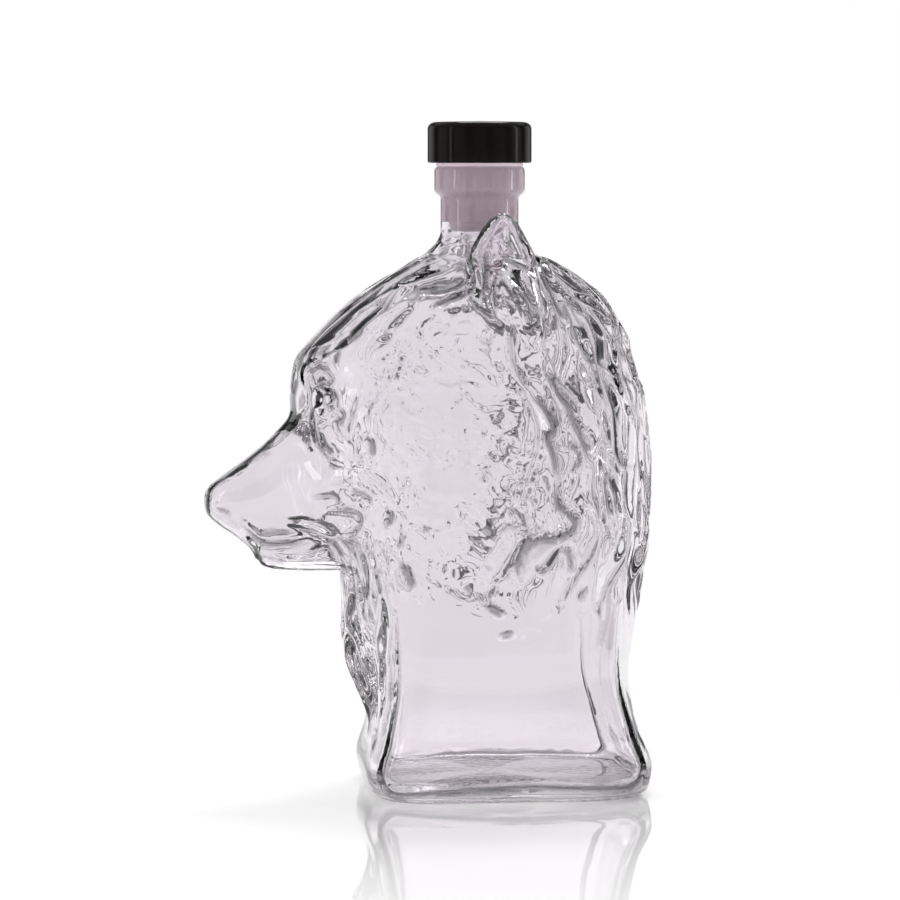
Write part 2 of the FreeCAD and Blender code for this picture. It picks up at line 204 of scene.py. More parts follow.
HEAD = [
    level(rise=0.0, front=0.565, back=0.91, half_width=0.755, square=4.6),
    level(rise=0.014, front=0.61, back=0.98, half_width=0.8, square=4.8),
    level(rise=0.056, front=0.632, back=1.0, half_width=0.82, square=5.0),
    level(rise=0.125, front=0.584, back=0.92, half_width=0.77, square=4.8),
    level(rise=0.23, front=0.57, back=0.867, half_width=0.742, square=4.4),
    level(rise=0.324, front=0.632, back=0.914, half_width=0.828, square=3.6),
    level(rise=0.424, front=0.71, back=0.952, half_width=0.944, square=3.0),
    level(rise=0.542, front=0.772, back=0.988, half_width=1.0, square=2.6),
    level(rise=0.648, front=0.87, back=0.982, half_width=0.97, square=2.4),
    level(rise=0.741, front=1.0, back=0.97, half_width=0.91, square=2.3),
    level(rise=0.798, front=0.982, back=0.916, half_width=0.828, square=2.2),
    level(rise=0.86, front=0.847, back=0.844, half_width=0.717, square=2.2),
    level(rise=0.916, front=0.684, back=0.748, half_width=0.592, square=2.1),
    level(rise=0.96, front=0.495, back=0.594, half_width=0.48, square=2.0),
    level(rise=0.988, front=0.358, back=0.438, half_width=0.4, square=2.0),
    Level(CROWN_HEIGHT, CROWN_RADIUS, CROWN_RADIUS, CROWN_RADIUS, 2.0),
]
MUZZLE = [
    muzzle(reach=0.41, top=0.698, bottom=0.498, half_width=1.0),
    muzzle(reach=0.58, top=0.704, bottom=0.482, half_width=0.876),
    muzzle(reach=0.7, top=0.688, bottom=0.466, half_width=0.752),
    muzzle(reach=0.773, top=0.654, bottom=0.461, half_width=0.686),
    muzzle(reach=0.845, top=0.624, bottom=0.468, half_width=0.62),
    muzzle(reach=0.918, top=0.597, bottom=0.488, half_width=0.533),
    muzzle(reach=0.966, top=0.578, bottom=0.506, half_width=0.41),
    muzzle(reach=0.993, top=0.563, bottom=0.522, half_width=0.238),
    muzzle(reach=1.0, top=0.551, bottom=0.536, half_width=0.095),
]
JAW = [
    jaw(reach=0.51, top=0.523, bottom=0.416, half_width=1.0),
    jaw(reach=0.75, top=0.492, bottom=0.416, half_width=0.85),
    jaw(reach=0.913, top=0.48, bottom=0.419, half_width=0.688),
    jaw(reach=0.979, top=0.473, bottom=0.426, half_width=0.538),
    jaw(reach=1.0, top=0.467, bottom=0.437, half_width=0.35),
]
EAR = [
    ear(rise=0.0, side=0.494, behind=0.2, half_width=1.0, half_depth=0.965),
    ear(rise=0.362, side=0.541, behind=0.132, half_width=0.977, half_depth=1.0),
    ear(rise=0.652, side=0.567, behind=0.068, half_width=0.79, half_depth=0.912),
    ear(rise=0.845, side=0.579, behind=0.068, half_width=0.535, half_depth=0.596),
    ear(rise=0.961, side=0.584, behind=0.072, half_width=0.279, half_depth=0.298),
    ear(rise=1.0, side=0.584, behind=0.072, half_width=0.093, half_depth=0.088),
]
EAR_HOLLOW = [
    ear(rise=0.145, side=0.76, behind=0.172, half_width=0.163, half_depth=0.228),
    ear(rise=0.362, side=0.695, behind=0.128, half_width=0.488, half_depth=0.614),
    ear(rise=0.604, side=0.687, behind=0.068, half_width=0.535, half_depth=0.596),
    ear(rise=0.797, side=0.67, behind=0.065, half_width=0.349, half_depth=0.368),
    ear(rise=0.932, side=0.665, behind=0.072, half_width=0.116, half_depth=0.105),
]
CHEST = [
    level(rise=0.125, front=0.554, back=0.16, half_width=0.107, square=2.0),
    level(rise=0.162, front=0.621, back=0.16, half_width=0.206, square=2.0),
    level(rise=0.212, front=0.677, back=0.16, half_width=0.322, square=2.2),
    level(rise=0.28, front=0.705, back=0.16, half_width=0.442, square=2.3),
    level(rise=0.374, front=0.73, back=0.16, half_width=0.536, square=2.4),
    level(rise=0.498, front=0.702, back=0.16, half_width=0.515, square=2.4),
]

LOCK_ROWS = [
    Row(root=0.945, tip=0.7, first=122.0, last=170.0, count=4, drift=-6.0, fullness=1.0),
    Row(root=0.77, tip=0.48, first=100.0, last=172.0, count=6, drift=4.0, fullness=1.0),
    Row(root=0.55, tip=0.34, first=93.0, last=165.0, count=6, drift=-4.0, fullness=1.0),
    Row(root=0.955, tip=0.79, first=14.0, last=62.0, count=5, drift=4.0, fullness=0.35),
    Row(root=0.42, tip=0.18, first=10.0, last=42.0, count=3, drift=-4.0, fullness=1.0),
]


def eased(places, values):
    """A smooth curve through places and values that never overshoots them, for arrays of places."""
    places = np.array(places, float)
    values = np.array(values, float)
    secants = np.diff(values) / np.diff(places)
    before, after = secants[:-1], secants[1:]
    level_out = before * after <= 0
    between = np.where(level_out, 0.0, 2 * before * after / np.where(level_out, 1.0, before + after))
    slopes = np.concatenate(([secants[0]], between, [secants[-1]]))

    def value(place):
        i = np.clip(np.searchsorted(places, place, side="right") - 1, 0, len(places) - 2)
        span = places[i + 1] - places[i]
        t = (place - places[i]) / span
        rise = 3 * t**2 - 2 * t**3
        lead_in = slopes[i] * span * (t - 2 * t**2 + t**3)
        lead_out = slopes[i + 1] * span * (t**3 - t**2)
        return values[i] + (values[i + 1] - values[i]) * rise + lead_in + lead_out

    return value


def ramp(value, start, end):
    """A smooth step from 0 at start to 1 at end."""
    t = np.clip((value - start) / (end - start), 0, 1)
    return t * t * (3 - 2 * t)


def sections_at(sections, place):
    """The eased fields of a row of sections at an array of places, which stop at the row's ends."""
    columns = np.array([tuple(s) for s in sections])
    place = np.clip(place, columns[0, 0], columns[-1, 0])
    return [eased(columns[:, 0], columns[:, k])(place) for k in range(1, columns.shape[1])]


def oval_field(across, along, half_across, half_along, square):
    """How far points lie outside a superellipse, measured from its middle."""
    share = (np.abs(across) / half_across) ** square + (np.abs(along) / half_along) ** square
    share = np.maximum(share, 1e-9) ** (1 / square)
    return np.hypot(across, along) * (1 - 1 / share)


def level_field(levels, x, y, z):
    """How far points lie outside a form of level sections about the neck's axis."""
    front, back, half_width, square = sections_at(levels, z)
    around = oval_field(x, y, half_width, np.where(y > 0, back, front), square)
    return np.maximum(around, np.maximum(levels[0].height - z, z - levels[-1].height))


def snout_field(snouts, square, x, y, z):
    """How far points lie outside a form of upright sections towards the nose."""
    top, bottom, half_width = sections_at(snouts, -y)
    around = oval_field(x, z - (top + bottom) / 2, half_width, (top - bottom) / 2, square)
    return np.maximum(around, np.maximum(snouts[0].reach + y, -y - snouts[-1].reach))


def leaf_field(leaves, x, y, z):
    """How far points lie outside a form of level ovals that lean with the ear."""
    side, behind, half_width, half_depth = sections_at(leaves, z)
    around = oval_field(x - side, y - behind, half_width, half_depth, 2.0)
    return np.maximum(around, np.maximum(leaves[0].height - z, z - leaves[-1].height))


def ball_field(centre, radius, x, y, z):
    """How far points lie outside a ball."""
    return np.sqrt((x - centre[0]) ** 2 + (y - centre[1]) ** 2 + (z - centre[2]) ** 2) - radius


def joined(a, b, fillet):
    """The union of two fields with a fillet where they meet."""
    h = np.clip(0.5 + 0.5 * (b - a) / fillet, 0, 1)
    return b + (a - b) * h - fillet * h * (1 - h)


def carved(a, b, fillet):
    """Field a with field b taken out of it, and a rounded edge."""
    return -joined(-a, b, fillet)


def neck_field(x, y, z):
    """How far points lie outside the neck, its flare and its lip."""
    flare = CROWN_RADIUS - CROWN_LEDGE
    heights = [CROWN_HEIGHT - NECK_ROOT, CROWN_HEIGHT, NECK_FOOT - NECK_FLARE_HEIGHT, NECK_FOOT]
    heights += [NECK_TOP, LIP_FOOT, LIP_TOP]
    radii = [flare, flare, NECK_RADIUS + NECK_FLARE, NECK_RADIUS, NECK_RADIUS, LIP_RADIUS, LIP_RADIUS]
    reach = np.hypot(x, y)
    wall = reach - eased(heights, radii)(np.clip(z, heights[0], heights[-1]))
    out, up = wall + LIP_ROUND, z - LIP_TOP + LIP_ROUND
    lip = np.minimum(np.maximum(out, up), 0) + np.hypot(np.maximum(out, 0), np.maximum(up, 0)) - LIP_ROUND
    return np.maximum(np.where(z > LIP_FOOT, lip, wall), heights[0] - z)


def slope_of(field, points):
    """How fast a field grows along each axis at points."""
    slope = np.empty_like(points)
    for axis in range(3):
        step = np.zeros(3)
        step[axis] = SLOPE_REACH
        slope[:, axis] = (field(*(points + step).T) - field(*(points - step).T)) / (2 * SLOPE_REACH)
    return slope


def outward_of(field, points):
    """The unit outward direction of a field at points."""
    slope = slope_of(field, points)
    return slope / np.linalg.norm(slope, axis=1, keepdims=True)


def eye_axis():
    """Where an eye sits on the head's surface, and the outward direction there."""
    front, _, half_width, square = sections_at(HEAD, np.array([EYE_HEIGHT]))
    ahead = front * (1 - (EYE_SIDE / half_width) ** square) ** (1 / square)
    place = np.array([EYE_SIDE, -ahead[0], EYE_HEIGHT])
    return place, outward_of(lambda x, y, z: level_field(HEAD, x, y, z), place[None, :])[0]


EYE_PLACE, EYE_OUTWARD = eye_axis()


def snouted(body, join, x, y, z):
    """A field joined to the muzzle and the lower jaw, or to what lies a wall's thickness within them."""
    upper = snout_field(MUZZLE, MUZZLE_SQUARE, x, y, z) + join.muzzle_wall
    lower = snout_field(JAW, JAW_SQUARE, x, y, z) + join.jaw_wall
    spread = ramp(np.abs(x), *SPREAD_SIDE) * (1 - ramp(z, *SPREAD_TOP))
    body = joined(body, upper, join.fillet + join.spread_fillet * spread)
    body = joined(body, lower, join.jaw_fillet)
    return np.minimum(body, joined(upper, lower, MOUTH_FILLET))


def outside(x, y, z):
    """The outside of the glass before its fur: negative within."""
    x = np.abs(x)
    body = joined(level_field(HEAD, x, y, z), level_field(CHEST, x, y, z), CHEST_FILLET)
    body = snouted(body, OUTER_SNOUT, x, y, z)
    shell = carved(leaf_field(EAR, x, y, z), leaf_field(EAR_HOLLOW, x, y, z), EAR_RIM_ROUND)
    body = joined(body, shell, EAR_FILLET)
    socket = EYE_PLACE + EYE_OUTWARD * (EYE_SOCKET_RADIUS - EYE_SOCKET_DEPTH)
    body = carved(body, ball_field(socket, EYE_SOCKET_RADIUS, x, y, z), EYE_SOCKET_ROUND)
    sunk = EYE_BALL_RADIUS + EYE_SOCKET_DEPTH - EYE_BALL_PROUD
    ball = ball_field(EYE_PLACE - EYE_OUTWARD * sunk, EYE_BALL_RADIUS, x, y, z)
    body = joined(body, ball, EYE_BALL_FILLET)
    return joined(body, neck_field(x, y, z), NECK_FILLET)


def inset(levels):
    """The level sections of the inside, a wall's thickness within the outside."""
    inner = []
    for i, section in enumerate(levels):
        below, above = levels[max(i - 1, 0)], levels[min(i + 1, len(levels) - 1)]
        rise = above.height - below.height
        narrowing = (sum(below[1:4]) - sum(above[1:4])) / 3
        length = math.hypot(rise, narrowing)
        wall = FOOT_WALL + (WALL - FOOT_WALL) * ramp(section.height, *WALL_GROWS)
        inward, down = wall * rise / length, wall * narrowing / length
        sizes = [size - inward for size in section[1:4]]
        inner.append(Level(section.height - down, *sizes, section.square))
    return inner


WALLS = inset(HEAD)


def floor_ripple(x, y):
    """The uneven lie of the hollow's floor, as a share of its wave."""
    broad = np.sin(x / 6.0 + y / 23.0) * np.sin(y / 9.0 + 1.0)
    return broad + 0.5 * np.sin(y / 4.3 + x / 8.0)


def hollow(x, y, z):
    """The inside of the glass: negative within."""
    walls = level_field(WALLS, x, y, z)
    base = FLOOR + FLOOR_WAVE * floor_ripple(x, y) - z
    out, down = walls + FLOOR_CORNER, base + FLOOR_CORNER
    edge = np.hypot(np.maximum(out, 0), np.maximum(down, 0)) - FLOOR_CORNER
    room = np.minimum(np.maximum(out, down), 0) + edge
    room = snouted(room, INNER_SNOUT, x, y, z)
    heights = [CROWN_HEIGHT - depth for depth in SHOULDER_DEPTHS] + [NECK_FOOT, LIP_TOP + BORE_PAST_LIP]
    radii = [SHOULDER_RADIUS, SHOULDER_RADIUS, BORE_RADIUS, BORE_RADIUS]
    wall = np.hypot(x, y) - eased(heights, radii)(np.clip(z, heights[0], heights[-1]))
    bore = np.maximum(wall, np.maximum(heights[0] - z, z - heights[-1]))
    return joined(room, bore, BORE_FILLET)


def net(field, low, high, step):
    """Corners and outward quads over the zero surface of a field, from a grid of samples."""
    axes = [np.arange(a, b + step, step) for a, b in zip(low, high)]
    shape = tuple(len(a) for a in axes)
    values = np.broadcast_to(field(*np.ix_(*axes)), shape)
    cells = tuple(n - 1 for n in shape)
    total = np.zeros(cells + (3,))
    count = np.zeros(cells, int)
    crossings = []
    for axis in range(3):
        start = np.take(values, range(shape[axis] - 1), axis)
        end = np.take(values, range(1, shape[axis]), axis)
        where = np.nonzero((start < 0) != (end < 0))
        share = start[where] / (start[where] - end[where])
        points = np.stack([axes[k][where[k]] for k in range(3)], 1)
        points[:, axis] += share * step
        first, second = [(axis + 1) % 3, (axis + 2) % 3]
        around = []
        for back_first, back_second in ((1, 1), (0, 1), (0, 0), (1, 0)):
            cell = list(where)
            cell[first] = cell[first] - back_first
            cell[second] = cell[second] - back_second
            cell = tuple(cell)
            np.add.at(total, cell, points)
            np.add.at(count, cell, 1)
            around.append(cell)
        crossings.append((around, start[where] < 0))
    number = np.full(cells, -1)
    filled = count > 0
    number[filled] = np.arange(filled.sum())
    corners = total[filled] / count[filled][:, None]
    quads = []
    for around, outward in crossings:
        quad = np.stack([number[cell] for cell in around], 1)
        quads.append(np.where(outward[:, None], quad, quad[:, ::-1]))
    return corners, np.concatenate(quads)


def settled(field, corners, quads):
    """The corners spread evenly and laid on the zero surface of the field."""
    links = np.concatenate([quads[:, [k, (k + 1) % 4]] for k in range(4)])
    for _ in range(SETTLE_ROUNDS):
        total = np.zeros_like(corners)
        count = np.zeros(len(corners))
        np.add.at(total, links[:, 0], corners[links[:, 1]])
        np.add.at(count, links[:, 0], 1)
        corners = 0.5 * corners + 0.5 * total / count[:, None]
        corners = laid_on(field, corners)
    return laid_on(field, corners)


def laid_on(field, corners):
    """The corners moved to the zero surface of the field."""
    slope = slope_of(field, corners)
    share = field(*corners.T) / np.maximum((slope**2).sum(1), LEAST_SLOPE**2)
    return corners - np.clip(slope * share[:, None], -LONGEST_MOVE, LONGEST_MOVE)


def mesh_piece(name, corners, faces):
    """A smooth mesh object in metres from corners in millimetres."""
    mesh = bpy.data.meshes.new(name)
    mesh.from_pydata((corners * MM).tolist(), [], faces.tolist())
    mesh.shade_smooth()
    piece = bpy.data.objects.new(name, mesh)
    bpy.context.scene.collection.objects.link(piece)
    return piece


# Where the fur lies on the wolf's side: the ruff's line and the muzzle's edge, by how far they lie behind
# the neck's axis at heights above the foot
RUFF_HEIGHTS = [60.0, 68.5, 77.0, 84.5, 96.0, 116.5, 123.5, 134.0, 140.0]
RUFF_BEHIND = [5.0, 7.0, 9.5, 15.0, 16.0, 19.0, 19.5, 18.0, 14.0]
MUZZLE_EDGE_HEIGHTS = [66.0, 81.0, 96.0, 105.0, 117.0, 124.0]
MUZZLE_EDGE_BEHIND = [-37.0, -41.5, -44.0, -42.0, -38.0, -36.0]
FUR_HEM = 58.0
FUR_HEM_DIP = 9.0
FUR_HEM_DIP_BEHIND = 8.0
FUR_HEM_DIP_WIDTH = 14.0

# Where each region of fur fades in or out
COAT_PAST_HEM = (-2.0, 6.0)
COAT_OFF_NECK = (17.0, 21.0)
COAT_OFF_EAR = (-0.5, 2.5)
COAT_BELOW_LIP = (LIP_FOOT - 4.0, LIP_FOOT)
MANE_PAST_RUFF = (-2.0, 3.0)
CROWN_UPWARD = (0.42, 0.72)
CROWN_FUR_FOOT = (118.0, 126.0)
CROWN_BEHIND = (-4.0, 6.0)
CROWN_AHEAD = (32.0, 44.0)
CHEEK_PAST_EDGE = (-1.0, 5.0)
CHEST_AHEAD = (24.0, 30.0)
CHEST_FOOT = (22.0, 32.0)
CHEST_TOP = (66.0, 76.0)
CHEST_SIDE = (20.0, 28.0)

# Width and length of the locks in each region, and what their lie turns about
MANE_LOCK = (13.0, 50.0)
MANE_REACH = 46.0
CROWN_LOCK = (7.0, 34.0)
CROWN_REACH = 60.0
CROWN_MIDDLE = 100.0
CHEEK_LOCK = (7.0, 14.0)
CHEEK_SLOPE = (0.87, 0.5)
CHEST_LOCK = (6.0, 34.0)


def along(heights, places, z):
    """The eased line through places at heights, which stops at its ends."""
    return eased(heights, places)(np.clip(z, heights[0], heights[-1]))


def fur_regions(corners, outward):
    """Where each region of fur lies on the skin, and the lie of its locks: across and along, in locks."""
    x, y, z = corners.T
    side = np.abs(x)
    hem = FUR_HEM - FUR_HEM_DIP * np.exp(-((y - FUR_HEM_DIP_BEHIND) / FUR_HEM_DIP_WIDTH) ** 2)
    coat = ramp(z - hem, *COAT_PAST_HEM) * (1 - ramp(z, *COAT_BELOW_LIP))
    coat *= ramp(np.hypot(x, y), *COAT_OFF_NECK) * ramp(leaf_field(EAR, side, y, z), *COAT_OFF_EAR)
    mane = coat * ramp(y - along(RUFF_HEIGHTS, RUFF_BEHIND, z), *MANE_PAST_RUFF)
    crown = coat * ramp(outward[:, 2], *CROWN_UPWARD) * ramp(z, *CROWN_FUR_FOOT)
    crown *= (1 - ramp(y, *CROWN_BEHIND)) * (1 - ramp(-y, *CROWN_AHEAD))
    chest = ramp(-y, *CHEST_AHEAD) * (1 - ramp(side, *CHEST_SIDE))
    chest *= ramp(z, *CHEST_FOOT) * (1 - ramp(z, *CHEST_TOP))
    cheek = coat * (1 - mane) * (1 - crown) * (1 - chest)
    cheek *= ramp(y - along(MUZZLE_EDGE_HEIGHTS, MUZZLE_EDGE_BEHIND, z), *CHEEK_PAST_EDGE)
    bearing = np.arctan2(x, -y)
    rise = np.arctan2(z - CROWN_MIDDLE, -y)
    slant, climb = CHEEK_SLOPE
    lies = {
        "mane": (mane, bearing * MANE_REACH, z, MANE_LOCK),
        "crown": (crown, x, rise * CROWN_REACH, CROWN_LOCK),
        "cheek": (cheek, climb * y + slant * z, slant * y - climb * z + side, CHEEK_LOCK),
        "chest": (chest, x, z, CHEST_LOCK),
    }
    return {
        region: (place, np.stack([across / width, down / length, np.zeros_like(place)], 1))
        for region, (place, across, down, (width, length)) in lies.items()
    }


# The camera, at the photograph's viewing angle: photograph sizes are in pixels of its 900 by 900 frame
PHOTO_SIZE = 900
PHOTO_FOCUS = 4333.0
NECK_AXIS_AT = 480.0
LIP_LEVEL_AT = 163.0
CAMERA_PLACE = Vector((1291.6, -147.0, 188.0))
CAMERA_RIGHT = Vector((0.1132, 0.9936, 0.0))
SENSOR = 36.0


def camera_axes():
    """The camera's ahead, right and up directions."""
    level_ahead = Vector((-CAMERA_RIGHT.y, CAMERA_RIGHT.x, 0))
    yaw = math.atan((NECK_AXIS_AT - PHOTO_SIZE / 2) / PHOTO_FOCUS)
    pitch = math.atan((PHOTO_SIZE / 2 - LIP_LEVEL_AT) / PHOTO_FOCUS)
    turned = level_ahead * math.cos(yaw) - CAMERA_RIGHT * math.sin(yaw)
    ahead = (turned * math.cos(pitch) + Vector((0, 0, -1)) * math.sin(pitch)).normalized()
    right = ahead.cross(Vector((0, 0, 1))).normalized()
    return ahead, right, right.cross(ahead)


Stroke = namedtuple("Stroke", "half_width rise points")

# Lines carved in the glass (negative rise) or raised on it: half width and rise in millimetres, and points
# in photograph pixels, on the side that the camera sees
STROKES = {
    "upper_eyelid": Stroke(1.2, -0.9, [(319, 367), (328, 373), (332, 380), (330, 387)]),
    "eye_corner": Stroke(2.2, -1.6, [(327, 389), (331, 397), (328, 404)]),
    "lower_eyelid": Stroke(1.4, -1.1, [(333, 406), (342, 413), (342, 420), (336, 427), (343, 440)]),
    "tear_line": Stroke(1.4, -1.2, [(314, 412), (313, 426), (316, 442), (328, 461)]),
    "tear_fold": Stroke(1.6, -1.4, [(321, 433), (324, 447), (333, 454)]),
    "cheek_tuft": Stroke(2.4, 1.3, [(362, 472), (378, 482), (394, 500)]),
    "cheek_tuft_edge": Stroke(1.4, -1.2, [(348, 490), (362, 495), (373, 503)]),
    "cheek_pit": Stroke(2.0, -1.5, [(369, 437), (372, 457)]),
    "whisker_pit": Stroke(2.0, -1.5, [(390, 510), (388, 526)]),
    "cheek_curve_front": Stroke(1.0, -0.6, [(348, 437), (355, 413), (360, 390)]),
    "cheek_curve_middle": Stroke(1.0, -0.6, [(371, 431), (371, 411), (383, 394)]),
    "cheek_curve_back": Stroke(1.0, -0.6, [(397, 399), (407, 411), (419, 418)]),
    "mouth": Stroke(1.7, -1.35, [(242, 525), (259, 542), (286, 543), (309, 538)]),
    "mouth_corner": Stroke(1.5, -1.1, [
        (326, 511), (340, 511), (355, 513), (360, 521), (355, 531), (341, 535),
    ]),
    "mouth_fold": Stroke(1.4, -0.8, [(341, 535), (329, 544), (314, 552), (300, 556)]),
    "nostril": Stroke(1.4, -1.1, [(215, 510), (223, 511), (231, 515)]),
    "ear_front": Stroke(2.0, -1.6, [(486, 250), (488, 271), (484, 300)]),
    "ear_root": Stroke(1.8, -1.4, [(468, 259), (471, 275), (470, 289), (454, 298), (436, 307)]),
    "ear_inner_front": Stroke(1.4, -1.0, [(496, 279), (496, 300), (499, 314)]),
    "ear_inner_back": Stroke(1.6, -1.3, [(516, 280), (523, 296), (531, 305)]),
    "ear_arch": Stroke(1.4, -1.2, [(493, 259), (500, 256), (511, 262), (525, 268), (536, 277)]),
    "ear_back": Stroke(2.5, -1.6, [(541, 259), (548, 280), (557, 307), (564, 321)]),
    "ear_lappet": Stroke(1.2, -0.9, [(511, 314), (511, 343), (514, 364), (525, 386), (536, 396)]),
    "ear_lappet_back": Stroke(1.0, -0.6, [(541, 314), (545, 332), (539, 352)]),
    "temple_curl": Stroke(1.1, -0.8, [(480, 332), (482, 341), (488, 343), (495, 330)]),
    "ruff_long": Stroke(2.4, -2.0, [(545, 371), (554, 386), (568, 405), (575, 425), (586, 446), (589, 463)]),
    "ruff_front": Stroke(2.1, -1.8, [(530, 395), (546, 409), (555, 430), (549, 440), (554, 454), (557, 480)]),
    "ruff_ring": Stroke(1.5, -1.2, [(561, 446), (575, 450), (579, 464), (568, 475)]),
    "ruff_hook": Stroke(1.8, -1.6, [(557, 480), (558, 505), (576, 522), (566, 537), (532, 545), (522, 575)]),
    "mane_top": Stroke(1.9, -1.6, [(570, 293), (593, 304), (607, 318), (616, 332)]),
    "mane_middle": Stroke(1.9, -1.6, [(579, 314), (589, 325), (595, 343), (600, 361), (611, 371)]),
    "mane_low": Stroke(2.4, -2.0, [(605, 377), (612, 396), (617, 411), (618, 441), (623, 464), (632, 468)]),
    "crown_streak": Stroke(1.5, -1.4, [(400, 284), (421, 277), (450, 268)]),
    "crown_fold": Stroke(1.8, -1.5, [(423, 293), (454, 287), (471, 275)]),
    "brow_contour": Stroke(1.1, -0.6, [
        (352, 343), (330, 355), (306, 366), (303, 377), (308, 392), (308, 406), (299, 420), (281, 442),
        (266, 450),
    ]),
    "nose_wrinkle": Stroke(1.1, -0.7, [(227, 478), (239, 470), (252, 463)]),
    "jaw_line": Stroke(1.0, -0.8, [(264, 556), (282, 562), (310, 563), (342, 562)]),
    "brow_fold": Stroke(1.2, -0.5, [(310, 349), (333, 339), (350, 335)]),
    "hem_leaf": Stroke(1.7, -1.4, [(486, 606), (495, 611), (504, 617)]),
    "hem_knot": Stroke(1.5, -1.2, [(500, 638), (507, 635), (515, 634)]),
    "ruff_drop": Stroke(2.2, -1.9, [(534, 534), (524, 550), (519, 566), (521, 579)]),
    "cheek_drop": Stroke(2.2, -1.5, [(404, 563), (408, 578), (413, 590)]),
    "cheek_slit": Stroke(1.3, -1.0, [(403, 532), (400, 549)]),
    "cheek_dot": Stroke(1.6, -1.2, [(425, 525), (428, 533)]),
    "cheek_scroll": Stroke(1.0, -0.7, [(433, 378), (440, 383), (452, 385), (462, 382), (475, 386)]),
    "side_hook": Stroke(1.2, -0.9, [(498, 534), (507, 528), (522, 528)]),
    "side_knot": Stroke(1.3, -1.0, [(534, 566), (541, 572), (549, 574)]),
    "side_dot": Stroke(1.2, -0.9, [(479, 477), (487, 480)]),
    "side_dash": Stroke(1.1, -0.8, [(514, 488), (526, 482), (543, 484)]),
    "side_fold": Stroke(1.1, -0.8, [(522, 507), (527, 497), (536, 506)]),
    "mane_slit": Stroke(1.5, -1.2, [(567, 545), (570, 560), (570, 573)]),
    "mane_drop": Stroke(1.5, -1.1, [(584, 590), (580, 604)]),
    "mane_leaf_front": Stroke(1.8, -1.4, [(602, 473), (606, 495), (612, 520)]),
    "mane_leaf_back": Stroke(1.8, -1.4, [(607, 472), (617, 495), (618, 518)]),
    "throat_front": Stroke(1.8, -1.5, [(349, 560), (353, 590), (352, 620)]),
    "throat_back": Stroke(1.8, -1.5, [(362, 552), (366, 575), (367, 600)]),
    "panel_frame": Stroke(1.6, -1.4, [
        (397, 612), (399, 650), (398, 690), (389, 742), (381, 772), (386, 790), (404, 796), (473, 791),
        (530, 788), (609, 789), (634, 785), (643, 768), (632, 734), (619, 690), (617, 650), (620, 604),
    ]),
    "mould_seam": Stroke(0.9, 0.18, [(511, 655), (512, 700), (513, 760)]),
}
STROKE_SPACING = 1.5
STROKE_END = 0.25
STROKE_TAPER = 3


def smooth_run(points):
    """Points along a smooth curve through the given ones."""
    points = [np.array(point, float) for point in (points[0], *points, points[-1])]
    run = []
    for a, b, c, d in zip(points, points[1:], points[2:], points[3:]):
        steps = max(1, round(np.linalg.norm(c - b) / STROKE_SPACING))
        for t in np.arange(steps) / steps:
            bend = (2 * a - 5 * b + 4 * c - d) * t**2 + (3 * b - a - 3 * c + d) * t**3
            run.append(b + 0.5 * ((c - a) * t + bend))
    return run + [points[-1]]


def sighted_points(skin):
    """Points along the strokes, laid on the skin by sight from the camera: place, half width and rise."""
    ahead, right, up = camera_axes()
    points = []
    for stroke in STROKES.values():
        run = smooth_run(stroke.points)
        for k, pixel in enumerate(run):
            across, down = (pixel - PHOTO_SIZE / 2) / PHOTO_FOCUS
            hit = skin.ray_cast(CAMERA_PLACE, (ahead + right * across - up * down).normalized())[0]
            if hit is not None:
                from_end = min(k, len(run) - 1 - k) / len(run)
                taper = min(1.0, STROKE_END + STROKE_TAPER * from_end)
                points.append((hit, stroke.half_width * (0.5 + 0.5 * taper), stroke.rise * taper))
    return points


def lock_points(skin):
    """Points along the main locks, laid on the skin by height and bearing: place, half width and rise."""
    points = []
    for row in LOCK_ROWS:
        for start in np.linspace(row.first, row.last, row.count):
            for t in np.linspace(0, 1, LOCK_STEPS):
                bearing = math.radians(start + row.drift * t + LOCK_SWAY * math.sin(2 * math.pi * t))
                out = Vector((math.sin(bearing), -math.cos(bearing), 0))
                height = CROWN_HEIGHT * (row.root + (row.tip - row.root) * t)
                hit = skin.ray_cast(out * 2 * NOSE_REACH + Vector((0, 0, height)), -out)[0]
                fullness = math.sin(math.pi * (LOCK_TIP + (1 - 2 * LOCK_TIP) * t))
                points.append((hit, LOCK_HALF_WIDTH * fullness, LOCK_RISE * fullness * row.fullness))
    return points


def store(mesh, name, values):
    """Gives a mesh a named number or vector at each corner."""
    values = np.array(values)
    kind, key = ("FLOAT_VECTOR", "vector") if values.ndim > 1 else ("FLOAT", "value")
    mesh.attributes.new(name, kind, "POINT").data.foreach_set(key, values.ravel())


def stroke_cloud(name, points):
    """An object that holds the points of strokes and their mirror images, for the glass to be shaped by."""
    places, widths, rises = [], [], []
    for place, half_width, rise in points:
        for side in (1, -1):
            places.append((side * place.x * MM, place.y * MM, place.z * MM))
            widths.append(half_width * MM)
            rises.append(rise * MM)
    mesh = bpy.data.meshes.new(name)
    mesh.from_pydata(places, [], [])
    store(mesh, "half_width", widths)
    store(mesh, "rise", rises)
    piece = bpy.data.objects.new(name, mesh)
    bpy.context.scene.collection.objects.link(piece)
    return piece


def add_node(tree, kind, links=None, **settings):
    """A node with its settings, and its inputs set to values or linked to other nodes' outputs."""
    node = tree.nodes.new(kind)
    for key, value in settings.items():
        setattr(node, key, value)
    for key, value in (links or {}).items():
        if isinstance(value, bpy.types.NodeSocket):
            tree.links.new(value, node.inputs[key])
        else:
            node.inputs[key].default_value = value
    return node


